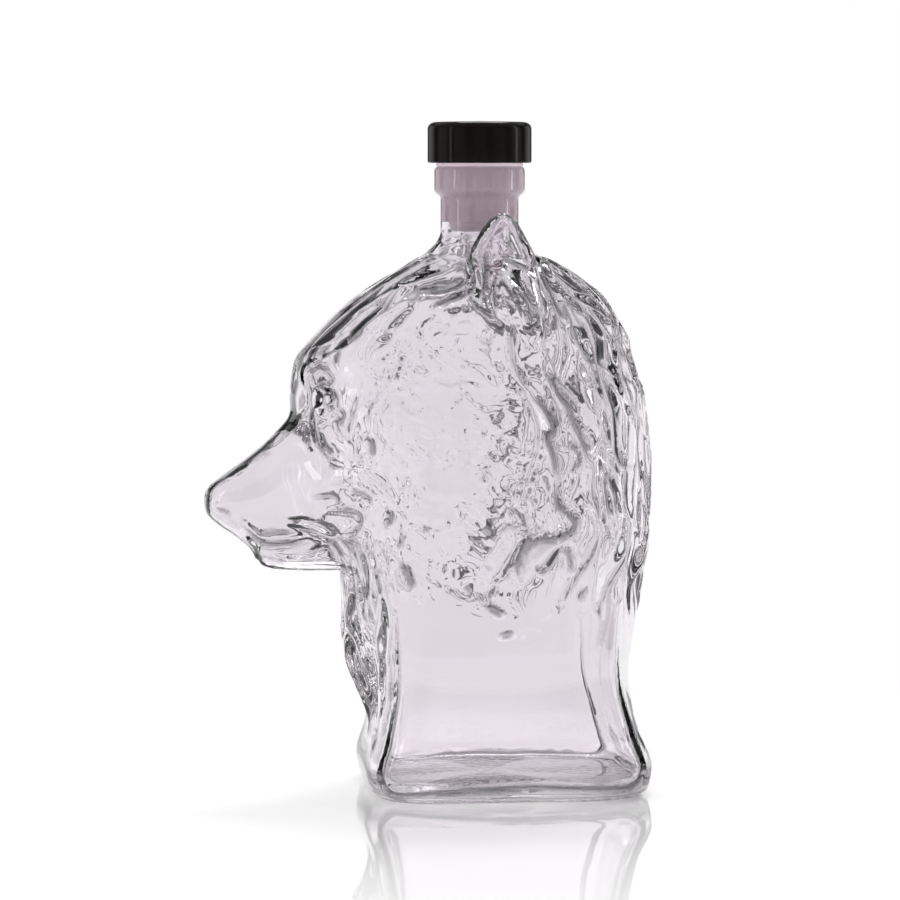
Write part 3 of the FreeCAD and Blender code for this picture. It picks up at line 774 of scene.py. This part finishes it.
def sized_tree(name, sizes):
    """A Geometry Nodes tree that takes and gives a mesh, with a named input for each size."""
    tree = bpy.data.node_groups.new(name, "GeometryNodeTree")
    tree.interface.new_socket("Geometry", in_out="INPUT", socket_type="NodeSocketGeometry")
    tree.interface.new_socket("Geometry", in_out="OUTPUT", socket_type="NodeSocketGeometry")
    for key, kind in sizes.items():
        tree.interface.new_socket(key, in_out="INPUT", socket_type=f"NodeSocket{kind}")
    return tree, tree.nodes.new("NodeGroupInput").outputs


def end_tree(tree, mesh, material):
    """Closes a tree with realised instances and a material."""
    real = add_node(tree, "GeometryNodeRealizeInstances", {"Geometry": mesh})
    painted = add_node(tree, "GeometryNodeSetMaterial", {"Geometry": real.outputs[0], "Material": material})
    add_node(tree, "NodeGroupOutput", {"Geometry": painted.outputs[0]})


def attribute(tree, name, kind="FLOAT"):
    """The output that reads a named attribute."""
    node = add_node(tree, "GeometryNodeInputNamedAttribute", {"Name": name}, data_type=kind)
    return node.outputs["Attribute"]


def math_node(tree, operation, *values):
    """The output of a sum on numbers or outputs."""
    return add_node(tree, "ShaderNodeMath", dict(enumerate(values)), operation=operation).outputs[0]


def vector_node(tree, operation, first, second):
    """The output of a sum on vectors; the second of SCALE is a number."""
    links = {0: first, "Scale" if operation == "SCALE" else 1: second}
    return add_node(tree, "ShaderNodeVectorMath", links, operation=operation).outputs[0]


def product_node(tree, *values):
    """The output of several numbers or outputs multiplied together."""
    total = values[0]
    for value in values[1:]:
        total = math_node(tree, "MULTIPLY", total, value)
    return total


def noise_node(tree, place, scale, detail, **more):
    """The smooth noise at a place."""
    return add_node(tree, "ShaderNodeTexNoise", {"Vector": place, "Scale": scale, "Detail": detail, **more})


def ramp_node(tree, value, start, end, low=0.0, high=1.0):
    """The output of a smooth step from low at start to high at end."""
    links = {"Value": value, "From Min": start, "From Max": end, "To Min": low, "To Max": high}
    return add_node(tree, "ShaderNodeMapRange", links, interpolation_type="SMOOTHSTEP").outputs["Result"]


def lifted(tree, mesh, height):
    """The mesh moved along its outward directions by a height."""
    move = vector_node(tree, "SCALE", attribute(tree, "outward", "FLOAT_VECTOR"), height)
    return add_node(tree, "GeometryNodeSetPosition", {"Geometry": mesh, "Offset": move}).outputs[0]


# Shares of a stroke's half width: how far out the fur stays clear of it, and how far the painted shade in its
# groove reaches; then the rises over which a carved line's painted shade fades from full to none
CLEAR_OF_STROKE = (0.9, 2.0)
GROOVE_SHADE_CORE = (0.3, 0.9)
GROOVE_SHADE_RISES = (-1.4 * MM, -0.3 * MM)


def marked(tree, mesh, name, value):
    """The mesh with a number stored under a name at each corner."""
    links = {"Geometry": mesh, "Name": name, "Value": value}
    return add_node(tree, "GeometryNodeStoreNamedAttribute", links).outputs[0]


def stroke_tree(glass):
    """Carves and raises the glass along the strokes."""
    tree, given = sized_tree("carved_strokes", {"Strokes": "Object", "Straightness": "Float"})
    strokes = add_node(tree, "GeometryNodeObjectInfo", {"Object": given["Strokes"]}).outputs["Geometry"]
    place = attribute(tree, "skin_place", "FLOAT_VECTOR")
    links = {"Geometry": strokes, "Sample Position": place}
    nearest = add_node(tree, "GeometryNodeSampleNearest", links).outputs["Index"]
    position = tree.nodes.new("GeometryNodeInputPosition").outputs[0]

    def at_nearest(value, kind):
        links = {"Geometry": strokes, "Value": value, "Index": nearest}
        return add_node(tree, "GeometryNodeSampleIndex", links, data_type=kind).outputs[0]

    links = {0: place, 1: at_nearest(position, "FLOAT_VECTOR")}
    away = add_node(tree, "ShaderNodeVectorMath", links, operation="DISTANCE").outputs["Value"]
    share = math_node(tree, "DIVIDE", away, at_nearest(attribute(tree, "half_width"), "FLOAT"))
    dome = ramp_node(tree, share, 0.0, 1.0, low=1.0, high=0.0)
    wedge = math_node(tree, "SUBTRACT", 1.0, math_node(tree, "MINIMUM", share, 1.0))
    links = {0: given["Straightness"], 2: dome, 3: wedge}
    swell = add_node(tree, "ShaderNodeMix", links, data_type="FLOAT").outputs[0]
    rise = at_nearest(attribute(tree, "rise"), "FLOAT")
    mesh = lifted(tree, given["Geometry"], product_node(tree, swell, rise))
    mesh = marked(tree, mesh, "clear_of_strokes", ramp_node(tree, share, *CLEAR_OF_STROKE))
    # Painted shade: the cores of the deeper carved lines are marked to darken the glass's colour, standing in
    # for the dark seen through their steep flanks
    deep = ramp_node(tree, rise, *GROOVE_SHADE_RISES, low=1.0, high=0.0)
    core = ramp_node(tree, share, *GROOVE_SHADE_CORE, low=1.0, high=0.0)
    mesh = marked(tree, mesh, "groove", product_node(tree, deep, core))
    end_tree(tree, mesh, glass)
    return tree


# Shares of a lock's height, and how strands are drawn out along a lock
LOWEST_LOCK = 0.35
LOCK_SINK = 0.45
STRAND_STRETCH = (2.4, 0.6, 1.0)


def fur_tree(glass):
    """Locks of fur: long cells with grooves between them, raised out of the skin along their own lie."""
    sizes = {
        "Lie": "String", "Place": "String", "Lock height": "Float", "Groove width": "Float",
        "Waviness": "Float", "Strand height": "Float",
    }
    tree, given = sized_tree("fur_locks", sizes)
    lie = attribute(tree, given["Lie"], "FLOAT_VECTOR")
    noise = noise_node(tree, lie, scale=1.0, detail=1.0).outputs["Color"]
    centred = vector_node(tree, "SUBTRACT", noise, (0.5, 0.5, 0.5))
    wavy = vector_node(tree, "ADD", lie, vector_node(tree, "SCALE", centred, given["Waviness"]))
    cell = {"Vector": wavy, "Scale": 1.0}
    edges = add_node(
        tree, "ShaderNodeTexVoronoi", cell, voronoi_dimensions="2D", feature="DISTANCE_TO_EDGE",
    ).outputs["Distance"]
    dome = ramp_node(tree, edges, 0.0, given["Groove width"])
    tone = add_node(tree, "ShaderNodeTexVoronoi", cell, voronoi_dimensions="2D").outputs["Color"]
    tone = add_node(tree, "ShaderNodeSeparateXYZ", {0: tone}).outputs[0]
    height = add_node(tree, "ShaderNodeMapRange", {"Value": tone, "To Min": LOWEST_LOCK}).outputs["Result"]
    lock = math_node(tree, "SUBTRACT", product_node(tree, dome, height), LOCK_SINK)
    stretched = vector_node(tree, "MULTIPLY", wavy, STRAND_STRETCH)
    strands = noise_node(tree, stretched, scale=1.0, detail=0.5).outputs[0]
    raised = product_node(tree, lock, given["Lock height"])
    fine = product_node(tree, math_node(tree, "SUBTRACT", strands, 0.5), given["Strand height"])
    within = product_node(tree, attribute(tree, given["Place"]), attribute(tree, "clear_of_strokes"))
    lift = product_node(tree, math_node(tree, "ADD", raised, fine), within)
    end_tree(tree, lifted(tree, given["Geometry"], lift), glass)
    return tree


# Wisps: the patches that they grow in, and the layers that they are made of
PATCH_SCALE = 0.45
PATCH_FROM = 0.3
PATCH_THIN = 0.25
WISP_LAYERS = 3
WISP_SHIFT = (7.3, 4.1, 2.7)
WISP_SCALE = 0.75
WISP_SCALE_STEP = 0.3
WISP_WINDING = 1.2


def wisp_tree(glass):
    """Wisps of short fur: low plateaus with winding edges."""
    sizes = {"Lie": "String", "Place": "String", "Wisp height": "Float", "Edge": "Float", "Spread": "Float"}
    tree, given = sized_tree("fur_wisps", sizes)
    lie = attribute(tree, given["Lie"], "FLOAT_VECTOR")
    patches = noise_node(tree, lie, PATCH_SCALE, detail=0.0).outputs[0]
    patch = ramp_node(tree, patches, PATCH_FROM, given["Spread"], low=PATCH_THIN)
    low = math_node(tree, "SUBTRACT", 0.5, given["Edge"])
    high = math_node(tree, "ADD", 0.5, given["Edge"])
    total = -WISP_LAYERS / 2
    for layer in range(WISP_LAYERS):
        shifted = vector_node(tree, "ADD", lie, tuple(layer * shift for shift in WISP_SHIFT))
        scale = WISP_SCALE + WISP_SCALE_STEP * layer
        noise = noise_node(tree, shifted, scale, detail=0.0, Distortion=WISP_WINDING).outputs[0]
        total = math_node(tree, "ADD", total, ramp_node(tree, noise, low, high))
    within = product_node(tree, attribute(tree, given["Place"]), attribute(tree, "clear_of_strokes"))
    height = product_node(tree, total, given["Wisp height"], patch, within)
    end_tree(tree, lifted(tree, given["Geometry"], height), glass)
    return tree


def shape_with(piece, name, tree, sizes):
    """Adds a tree to a piece as a modifier, with its named inputs set."""
    modifier = piece.modifiers.new(name, "NODES")
    modifier.node_group = tree
    for item in tree.interface.items_tree:
        if item.in_out == "INPUT" and item.name in sizes:
            modifier[item.identifier] = sizes[item.name]


def baked(piece):
    """Turns a piece's modifiers into plain mesh."""
    mesh = bpy.data.meshes.new_from_object(piece.evaluated_get(bpy.context.evaluated_depsgraph_get()))
    piece.modifiers.clear()
    piece.data = mesh
    mesh.shade_smooth()


FUR = {
    "mane": {"Lock height": 1.6 * MM, "Groove width": 0.26, "Waviness": 0.8, "Strand height": 0.25 * MM},
    "crown": {"Lock height": 0.75 * MM, "Groove width": 0.28, "Waviness": 0.4, "Strand height": 0.1 * MM},
    "chest": {"Lock height": 1.6 * MM, "Groove width": 0.32, "Waviness": 0.6, "Strand height": 0.5 * MM},
}
WISPS = {"Wisp height": 0.4 * MM, "Edge": 0.06, "Spread": 0.48}

# How straight the flanks of the locks and of the carved lines are, from 0 for a round dome to 1 for a wedge
STRAIGHTNESS = {"locks": 0.0, "strokes": 0.85}


def furred(piece, corners, quads, outward, glass):
    """Gives the skin its carved lines and its fur, region by region."""
    store(piece.data, "outward", outward)
    store(piece.data, "skin_place", corners * MM)
    skin = BVHTree.FromPolygons(corners.tolist(), quads.tolist())
    shaping = stroke_tree(glass)
    clouds = [stroke_cloud("locks", lock_points(skin)), stroke_cloud("strokes", sighted_points(skin))]
    for cloud in clouds:
        sizes = {"Strokes": cloud, "Straightness": STRAIGHTNESS[cloud.name]}
        shape_with(piece, cloud.name, shaping, sizes)
    locks, wisps = fur_tree(glass), wisp_tree(glass)
    for region, (place, lie) in fur_regions(corners, outward).items():
        names = {"Lie": f"{region}_lie", "Place": f"{region}_place"}
        store(piece.data, names["Lie"], lie)
        store(piece.data, names["Place"], place)
        shape_with(piece, region, locks if region in FUR else wisps, {**names, **FUR.get(region, WISPS)})
    baked(piece)
    for cloud in clouds:
        bpy.data.objects.remove(cloud)


# The studio's light panels: eight round the room, turned so that the camera's axis meets the middle of one
PANELS = 8
PANELS_TURN = 8.144
PANEL_GAP = (0.08, 0.32)
GAP_LIGHT = 0.08
GAPS_END = (0.42, 0.56)
LEDGE_HEIGHT = 0.37
LEDGE_HALF = (0.04, 0.12)
LEDGE_LIGHT = 0.2
CEILING_FROM = (0.35, 0.6)
CEILING_LIGHT = 0.7
NEAR_SIDE = (0.2, 0.9)
NEAR_LIGHT = 0.45


def studio():
    """A white room to the eye, with dark gaps between its light panels that glass and gloss show."""
    world = bpy.data.worlds.new("studio")
    bpy.context.scene.world = world
    world.use_nodes = True
    tree = world.node_tree
    tree.nodes.clear()
    way = add_node(tree, "ShaderNodeTexCoord").outputs["Generated"]
    x, y, z = add_node(tree, "ShaderNodeSeparateXYZ", {0: way}).outputs
    turn = math_node(tree, "ARCTAN2", y, x)
    panels = math_node(tree, "MULTIPLY_ADD", turn, PANELS / (2 * math.pi), PANELS_TURN)
    off_gap = math_node(tree, "SUBTRACT", math_node(tree, "FRACT", panels), 0.5)
    panel = ramp_node(tree, math_node(tree, "ABSOLUTE", off_gap), *PANEL_GAP, low=GAP_LIGHT)
    panel = math_node(tree, "MAXIMUM", panel, ramp_node(tree, z, *GAPS_END))
    off_ledge = math_node(tree, "ABSOLUTE", math_node(tree, "SUBTRACT", z, LEDGE_HEIGHT))
    ledge = ramp_node(tree, off_ledge, *LEDGE_HALF, low=LEDGE_LIGHT)
    ceiling = ramp_node(tree, z, *CEILING_FROM, low=1.0, high=CEILING_LIGHT)
    near = ramp_node(tree, x, *NEAR_SIDE, low=1.0, high=NEAR_LIGHT)
    gaps = product_node(tree, panel, ceiling, near, ledge)
    rays = add_node(tree, "ShaderNodeLightPath").outputs
    shown = math_node(tree, "MAXIMUM", rays["Is Glossy Ray"], rays["Is Transmission Ray"])
    bright = add_node(tree, "ShaderNodeMix", {0: shown, 2: 1.0, 3: gaps}, data_type="FLOAT").outputs[0]
    background = add_node(tree, "ShaderNodeBackground", {"Color": (1, 1, 1, 1), "Strength": bright})
    add_node(tree, "ShaderNodeOutputWorld", {"Surface": background.outputs[0]})


def new_material(name):
    """An empty material: itself, its tree and its output node."""
    material = bpy.data.materials.new(name)
    material.use_nodes = True
    tree = material.node_tree
    tree.nodes.clear()
    return material, tree, tree.nodes.new("ShaderNodeOutputMaterial")


def object_place(tree):
    """The output that reads a piece's own place."""
    return add_node(tree, "ShaderNodeTexCoord").outputs["Object"]


def bump_node(tree, height, strength, distance):
    """The surface's direction, made uneven by a height."""
    links = {"Height": height, "Strength": strength, "Distance": distance}
    return add_node(tree, "ShaderNodeBump", links).outputs[0]


def tint_node(tree, share, first, second):
    """The colour between two colours."""
    links = {"Factor": share, "A": first, "B": second}
    return add_node(tree, "ShaderNodeMix", links, data_type="RGBA").outputs["Result"]


GLASS_TINT = (0.885, 0.853, 0.886, 1)
# Painted shade: the dark colour given to the cores of deep carved lines, in place of the dark seen through
# their steep flanks
GROOVE_PAINTED_SHADE = (0.17, 0.163, 0.175, 1)
UNDERSIDE = (0.3 * MM, 1.2 * MM)
UNDERSIDE_FROST = 0.4
STIPPLE_SCALE = 420.0
STIPPLE_DEPTH = 1.5 * MM


def clear_glass():
    """Clear glass with a faint lilac cast, painted shade in its deep carved lines and a stippled underside.
    """
    material, tree, out = new_material("clear_moulded_glass")
    place = object_place(tree)
    height = add_node(tree, "ShaderNodeSeparateXYZ", {0: place}).outputs[2]
    under = ramp_node(tree, height, *UNDERSIDE, low=1.0, high=0.0)
    dots = add_node(tree, "ShaderNodeTexVoronoi", {"Vector": place, "Scale": STIPPLE_SCALE})
    stipple = product_node(tree, dots.outputs["Distance"], under)
    # Painted shade: the marked cores of deep carved lines darken the glass's colour
    groove = add_node(tree, "ShaderNodeAttribute", attribute_name="groove").outputs["Fac"]
    shader = add_node(tree, "ShaderNodeBsdfPrincipled", {
        "Base Color": tint_node(tree, groove, GLASS_TINT, GROOVE_PAINTED_SHADE),
        "Roughness": product_node(tree, under, UNDERSIDE_FROST),
        "IOR": 1.5, "Transmission Weight": 1.0,
        "Normal": bump_node(tree, stipple, strength=1.0, distance=STIPPLE_DEPTH),
    })
    tree.links.new(shader.outputs[0], out.inputs["Surface"])
    return material


BLACK_DEEP = (0.004, 0.0035, 0.003, 1)
BLACK_WORN = (0.008, 0.007, 0.006, 1)
BLACK_CLOUDS = (0.3, 0.8)
BLACK_ROUGHNESS = (0.08, 0.16)


def gloss_black():
    """Polished black moulding with a faint uneven polish."""
    material, tree, out = new_material("gloss_black_moulding")
    place = object_place(tree)
    cloud = noise_node(tree, place, scale=260.0, detail=3.0).outputs[0]
    grain = noise_node(tree, place, scale=1500.0, detail=2.0).outputs[0]
    shader = add_node(tree, "ShaderNodeBsdfPrincipled", {
        "Base Color": tint_node(tree, cloud, BLACK_DEEP, BLACK_WORN),
        "Roughness": ramp_node(tree, cloud, *BLACK_CLOUDS, *BLACK_ROUGHNESS),
        "Specular IOR Level": 0.07,
        "Normal": bump_node(tree, grain, strength=0.04, distance=0.2 * MM),
    })
    tree.links.new(shader.outputs[0], out.inputs["Surface"])
    return material


def stopper_polymer(name, light, dark, roughness):
    """Soft moulded polymer with a cloudy tone and a fine grain."""
    material, tree, out = new_material(name)
    place = object_place(tree)
    cloud = noise_node(tree, place, scale=120.0, detail=4.0).outputs[0]
    grain = noise_node(tree, place, scale=2500.0, detail=2.0).outputs[0]
    shader = add_node(tree, "ShaderNodeBsdfPrincipled", {
        "Base Color": tint_node(tree, cloud, dark, light),
        "Roughness": roughness,
        "Normal": bump_node(tree, grain, strength=0.15, distance=0.3 * MM),
        "Subsurface Weight": 0.3, "Subsurface Radius": (4 * MM, 3 * MM, 3 * MM),
    })
    tree.links.new(shader.outputs[0], out.inputs["Surface"])
    return material


def rounded(corners):
    """A closed profile of (radius, height) points, from corners that may carry a rounding."""
    places = [Vector(corner[:2]) for corner in corners]
    outline = []
    for i, corner in enumerate(corners):
        place = places[i]
        if len(corner) < 3:
            outline.append(place)
            continue
        before = (places[i - 1] - place).normalized()
        after = (places[(i + 1) % len(places)] - place).normalized()
        half = 0.5 * before.angle(after)
        start, end = (place + way * (corner[2] / math.tan(half)) for way in (before, after))
        middle = place + (before + after).normalized() * (corner[2] / math.sin(half))
        for k in range(ROUNDING_STEPS + 1):
            way = (start - middle).lerp(end - middle, k / ROUNDING_STEPS).normalized()
            outline.append(middle + way * corner[2])
    return outline


def turned_piece(name, profile, material):
    """A closed mesh turned about the neck's axis from a profile."""
    steps = np.arange(TURNED_STEPS)
    ahead = (steps + 1) % TURNED_STEPS
    turn = 2 * np.pi * steps / TURNED_STEPS
    rings, quads = [], []
    for k, (radius, height) in enumerate(profile):
        rings.append(np.stack([radius * np.cos(turn), radius * np.sin(turn), np.full_like(turn, height)], 1))
        this, following = k * TURNED_STEPS, (k + 1) % len(profile) * TURNED_STEPS
        quads.append(np.stack([this + steps, this + ahead, following + ahead, following + steps], 1))
    piece = mesh_piece(name, np.concatenate(rings), np.concatenate(quads))
    shape = bmesh.new()
    shape.from_mesh(piece.data)
    bmesh.ops.remove_doubles(shape, verts=shape.verts, dist=1e-7)
    bmesh.ops.recalc_face_normals(shape, faces=shape.faces)
    shape.to_mesh(piece.data)
    shape.free()
    piece.data.shade_smooth()
    piece.data.set_sharp_from_angle(angle=SHARP_EDGE)
    piece.data.materials.append(material)
    return piece


def cap():
    """The black cap: a cup that opens downward, with a faintly domed top."""
    inner = CAP_RADIUS - CAP_WALL
    piece = turned_piece("black_cap", rounded([
        (inner, CAP_FOOT),
        (CAP_RADIUS, CAP_FOOT, CAP_RIM_ROUND),
        (CAP_RADIUS, CAP_TOP - CAP_CROWN, CAP_TOP_ROUND),
        (0, CAP_TOP),
        (0, CAP_TOP - CAP_WALL),
        (inner, CAP_TOP - CAP_WALL),
    ]), gloss_black())
    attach(piece, "stopper")
    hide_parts("cap_shell")


def plug(polymer):
    """The plug in the neck, pressed smooth against the bore, with its flange on the lip."""
    foot = LIP_TOP - PLUG_LENGTH
    collar = LIP_TOP - PLUG_COLLAR
    flange = LIP_RADIUS - PLUG_FLANGE_MARGIN
    pressed = BORE_RADIUS + PLUG_SQUEEZE
    piece = turned_piece("ribbed_plug", rounded([
        (0, foot + PLUG_CORE_DEPTH),
        (PLUG_CORE_RADIUS, foot + PLUG_CORE_DEPTH, PLUG_FOOT_ROUND),
        (PLUG_CORE_RADIUS, foot),
        (PLUG_FOOT_RADIUS, foot, PLUG_FOOT_ROUND),
        (PLUG_FOOT_RADIUS, collar - PLUG_COLLAR_EDGE),
        (pressed, collar),
        (pressed, LIP_TOP),
        (flange, LIP_TOP),
        (flange, CAP_FOOT),
        (SPIGOT_RADIUS, CAP_FOOT),
        (SPIGOT_RADIUS, CAP_FOOT - SPIGOT_LENGTH),
        (0, CAP_FOOT - SPIGOT_LENGTH),
    ]), polymer)
    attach(piece, "stopper")
    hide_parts("stopper_plug")


def bottle(glass):
    """The glass wolf's head: the furred skin with the hollow cut out of it."""
    low = np.array(cad_low) / MM - MESH_MARGIN
    high = np.array(cad_high) / MM + MESH_MARGIN
    high[2] = LIP_TOP + MESH_MARGIN
    corners, quads = net(outside, low, high, SKIN_STEP)
    corners = settled(outside, corners, quads)
    skin = mesh_piece("wolf_head_glass", corners, quads)
    furred(skin, corners, quads, outward_of(outside, corners), glass)
    high[2] = LIP_TOP + 4 * MESH_MARGIN
    corners, quads = net(hollow, low, high, HOLLOW_STEP)
    room = mesh_piece("hollow", settled(hollow, corners, quads), quads)
    cut = skin.modifiers.new("hollow", "BOOLEAN")
    cut.solver = "MANIFOLD"
    cut.object = room
    cut.operation = "DIFFERENCE"
    baked(skin)
    bpy.data.objects.remove(room)
    triangles = sum(len(face.vertices) - 2 for face in skin.data.polygons)
    thinned = skin.modifiers.new("fewer_faces", "DECIMATE")
    thinned.ratio = min(1.0, MOST_TRIANGLES / triangles)
    baked(skin)
    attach(skin, "bottle")
    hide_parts("glass_bottle")


def camera():
    """The camera at the photograph's viewing angle."""
    lens = bpy.data.cameras.new("camera")
    lens.sensor_width = SENSOR
    lens.lens = SENSOR * PHOTO_FOCUS / PHOTO_SIZE
    eye = bpy.data.objects.new("camera", lens)
    eye.location = CAMERA_PLACE * MM
    eye.rotation_euler = camera_axes()[0].to_track_quat("-Z", "Y").to_euler()
    bpy.context.scene.collection.objects.link(eye)
    bpy.context.scene.camera = eye


LAMP_TARGET = Vector((0, 0, 0.12))


def softbox(name, place, width, height, power):
    """A soft lamp that faces the decanter's middle."""
    lamp = bpy.data.lights.new(name, "AREA")
    lamp.shape = "RECTANGLE"
    lamp.size, lamp.size_y = width, height
    lamp.energy = power
    box = bpy.data.objects.new(name, lamp)
    box.location = place
    box.rotation_euler = (LAMP_TARGET - Vector(place)).to_track_quat("-Z", "Y").to_euler()
    bpy.context.scene.collection.objects.link(box)


# The table, in metres: it fades to white away from the decanter, and has a faint painted glow right under the
# foot that lightens the decanter's shadow there
TABLE_HALF = 3.0
TABLE_MATT = (0.96, 0.955, 0.96, 1)
TABLE_GLOSS = (0.97, 0.96, 0.97, 1)
TABLE_GLOSS_SHARE = 0.5
TABLE_ROUGHNESS = 0.04
TABLE_FADE = (0.1, 0.32)
FOOT_GLOW_REACH = (0.03, 0.06)
FOOT_PAINTED_GLOW = 0.45


def floor():
    """The pale glossy table that the decanter stands on, white to the eye away from it, with a painted glow
    under its foot.
    """
    mesh = bpy.data.meshes.new("floor")
    signs = [(-1, -1), (1, -1), (1, 1), (-1, 1)]
    mesh.from_pydata([(x * TABLE_HALF, y * TABLE_HALF, 0) for x, y in signs], [], [(0, 1, 2, 3)])
    piece = bpy.data.objects.new("floor", mesh)
    bpy.context.scene.collection.objects.link(piece)
    material, tree, out = new_material("pale_table")
    matt = add_node(tree, "ShaderNodeBsdfDiffuse", {"Color": TABLE_MATT}).outputs[0]
    gloss = add_node(tree, "ShaderNodeBsdfGlossy", {"Color": TABLE_GLOSS, "Roughness": TABLE_ROUGHNESS})
    top = add_node(tree, "ShaderNodeMixShader", {0: TABLE_GLOSS_SHARE, 1: matt, 2: gloss.outputs[0]})
    white = add_node(tree, "ShaderNodeEmission", {"Color": (1, 1, 1, 1), "Strength": 1.0})
    away = add_node(tree, "ShaderNodeVectorMath", {0: object_place(tree)}, operation="LENGTH")
    away = away.outputs["Value"]
    # Painted light: a faint glow right under the foot, lightening the decanter's shadow on the table
    painted_glow_under_foot = ramp_node(tree, away, *FOOT_GLOW_REACH, low=FOOT_PAINTED_GLOW, high=0.0)
    fade = math_node(tree, "ADD", ramp_node(tree, away, *TABLE_FADE), painted_glow_under_foot)
    blend = add_node(tree, "ShaderNodeMixShader", {0: fade, 1: top.outputs[0], 2: white.outputs[0]})
    tree.links.new(blend.outputs[0], out.inputs["Surface"])
    mesh.materials.append(material)


PLUG_LIGHT = (0.9, 0.74, 0.81, 1)
PLUG_DARK = (0.82, 0.67, 0.74, 1)
INSERT_LIGHT = (0.75, 0.72, 0.74, 1)
INSERT_DARK = (0.68, 0.65, 0.67, 1)

bottle(clear_glass())
cap()
plug(stopper_polymer("plug_polymer", PLUG_LIGHT, PLUG_DARK, roughness=0.45))
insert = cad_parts["cap_insert"]
insert.data.materials.clear()
insert.data.materials.append(stopper_polymer("insert_plastic", INSERT_LIGHT, INSERT_DARK, roughness=0.5))
camera()
softbox("back_strip", (0.12, 1.0, 0.36), width=0.1, height=0.7, power=1.2)
softbox("nose_strip", (0.3, -1.0, 0.36), width=0.1, height=0.7, power=0.8)
softbox("top_box", (-0.5, 0.1, 1.0), width=0.5, height=0.3, power=6.0)
studio()
floor()
bpy.context.scene.view_settings.view_transform = "Standard"
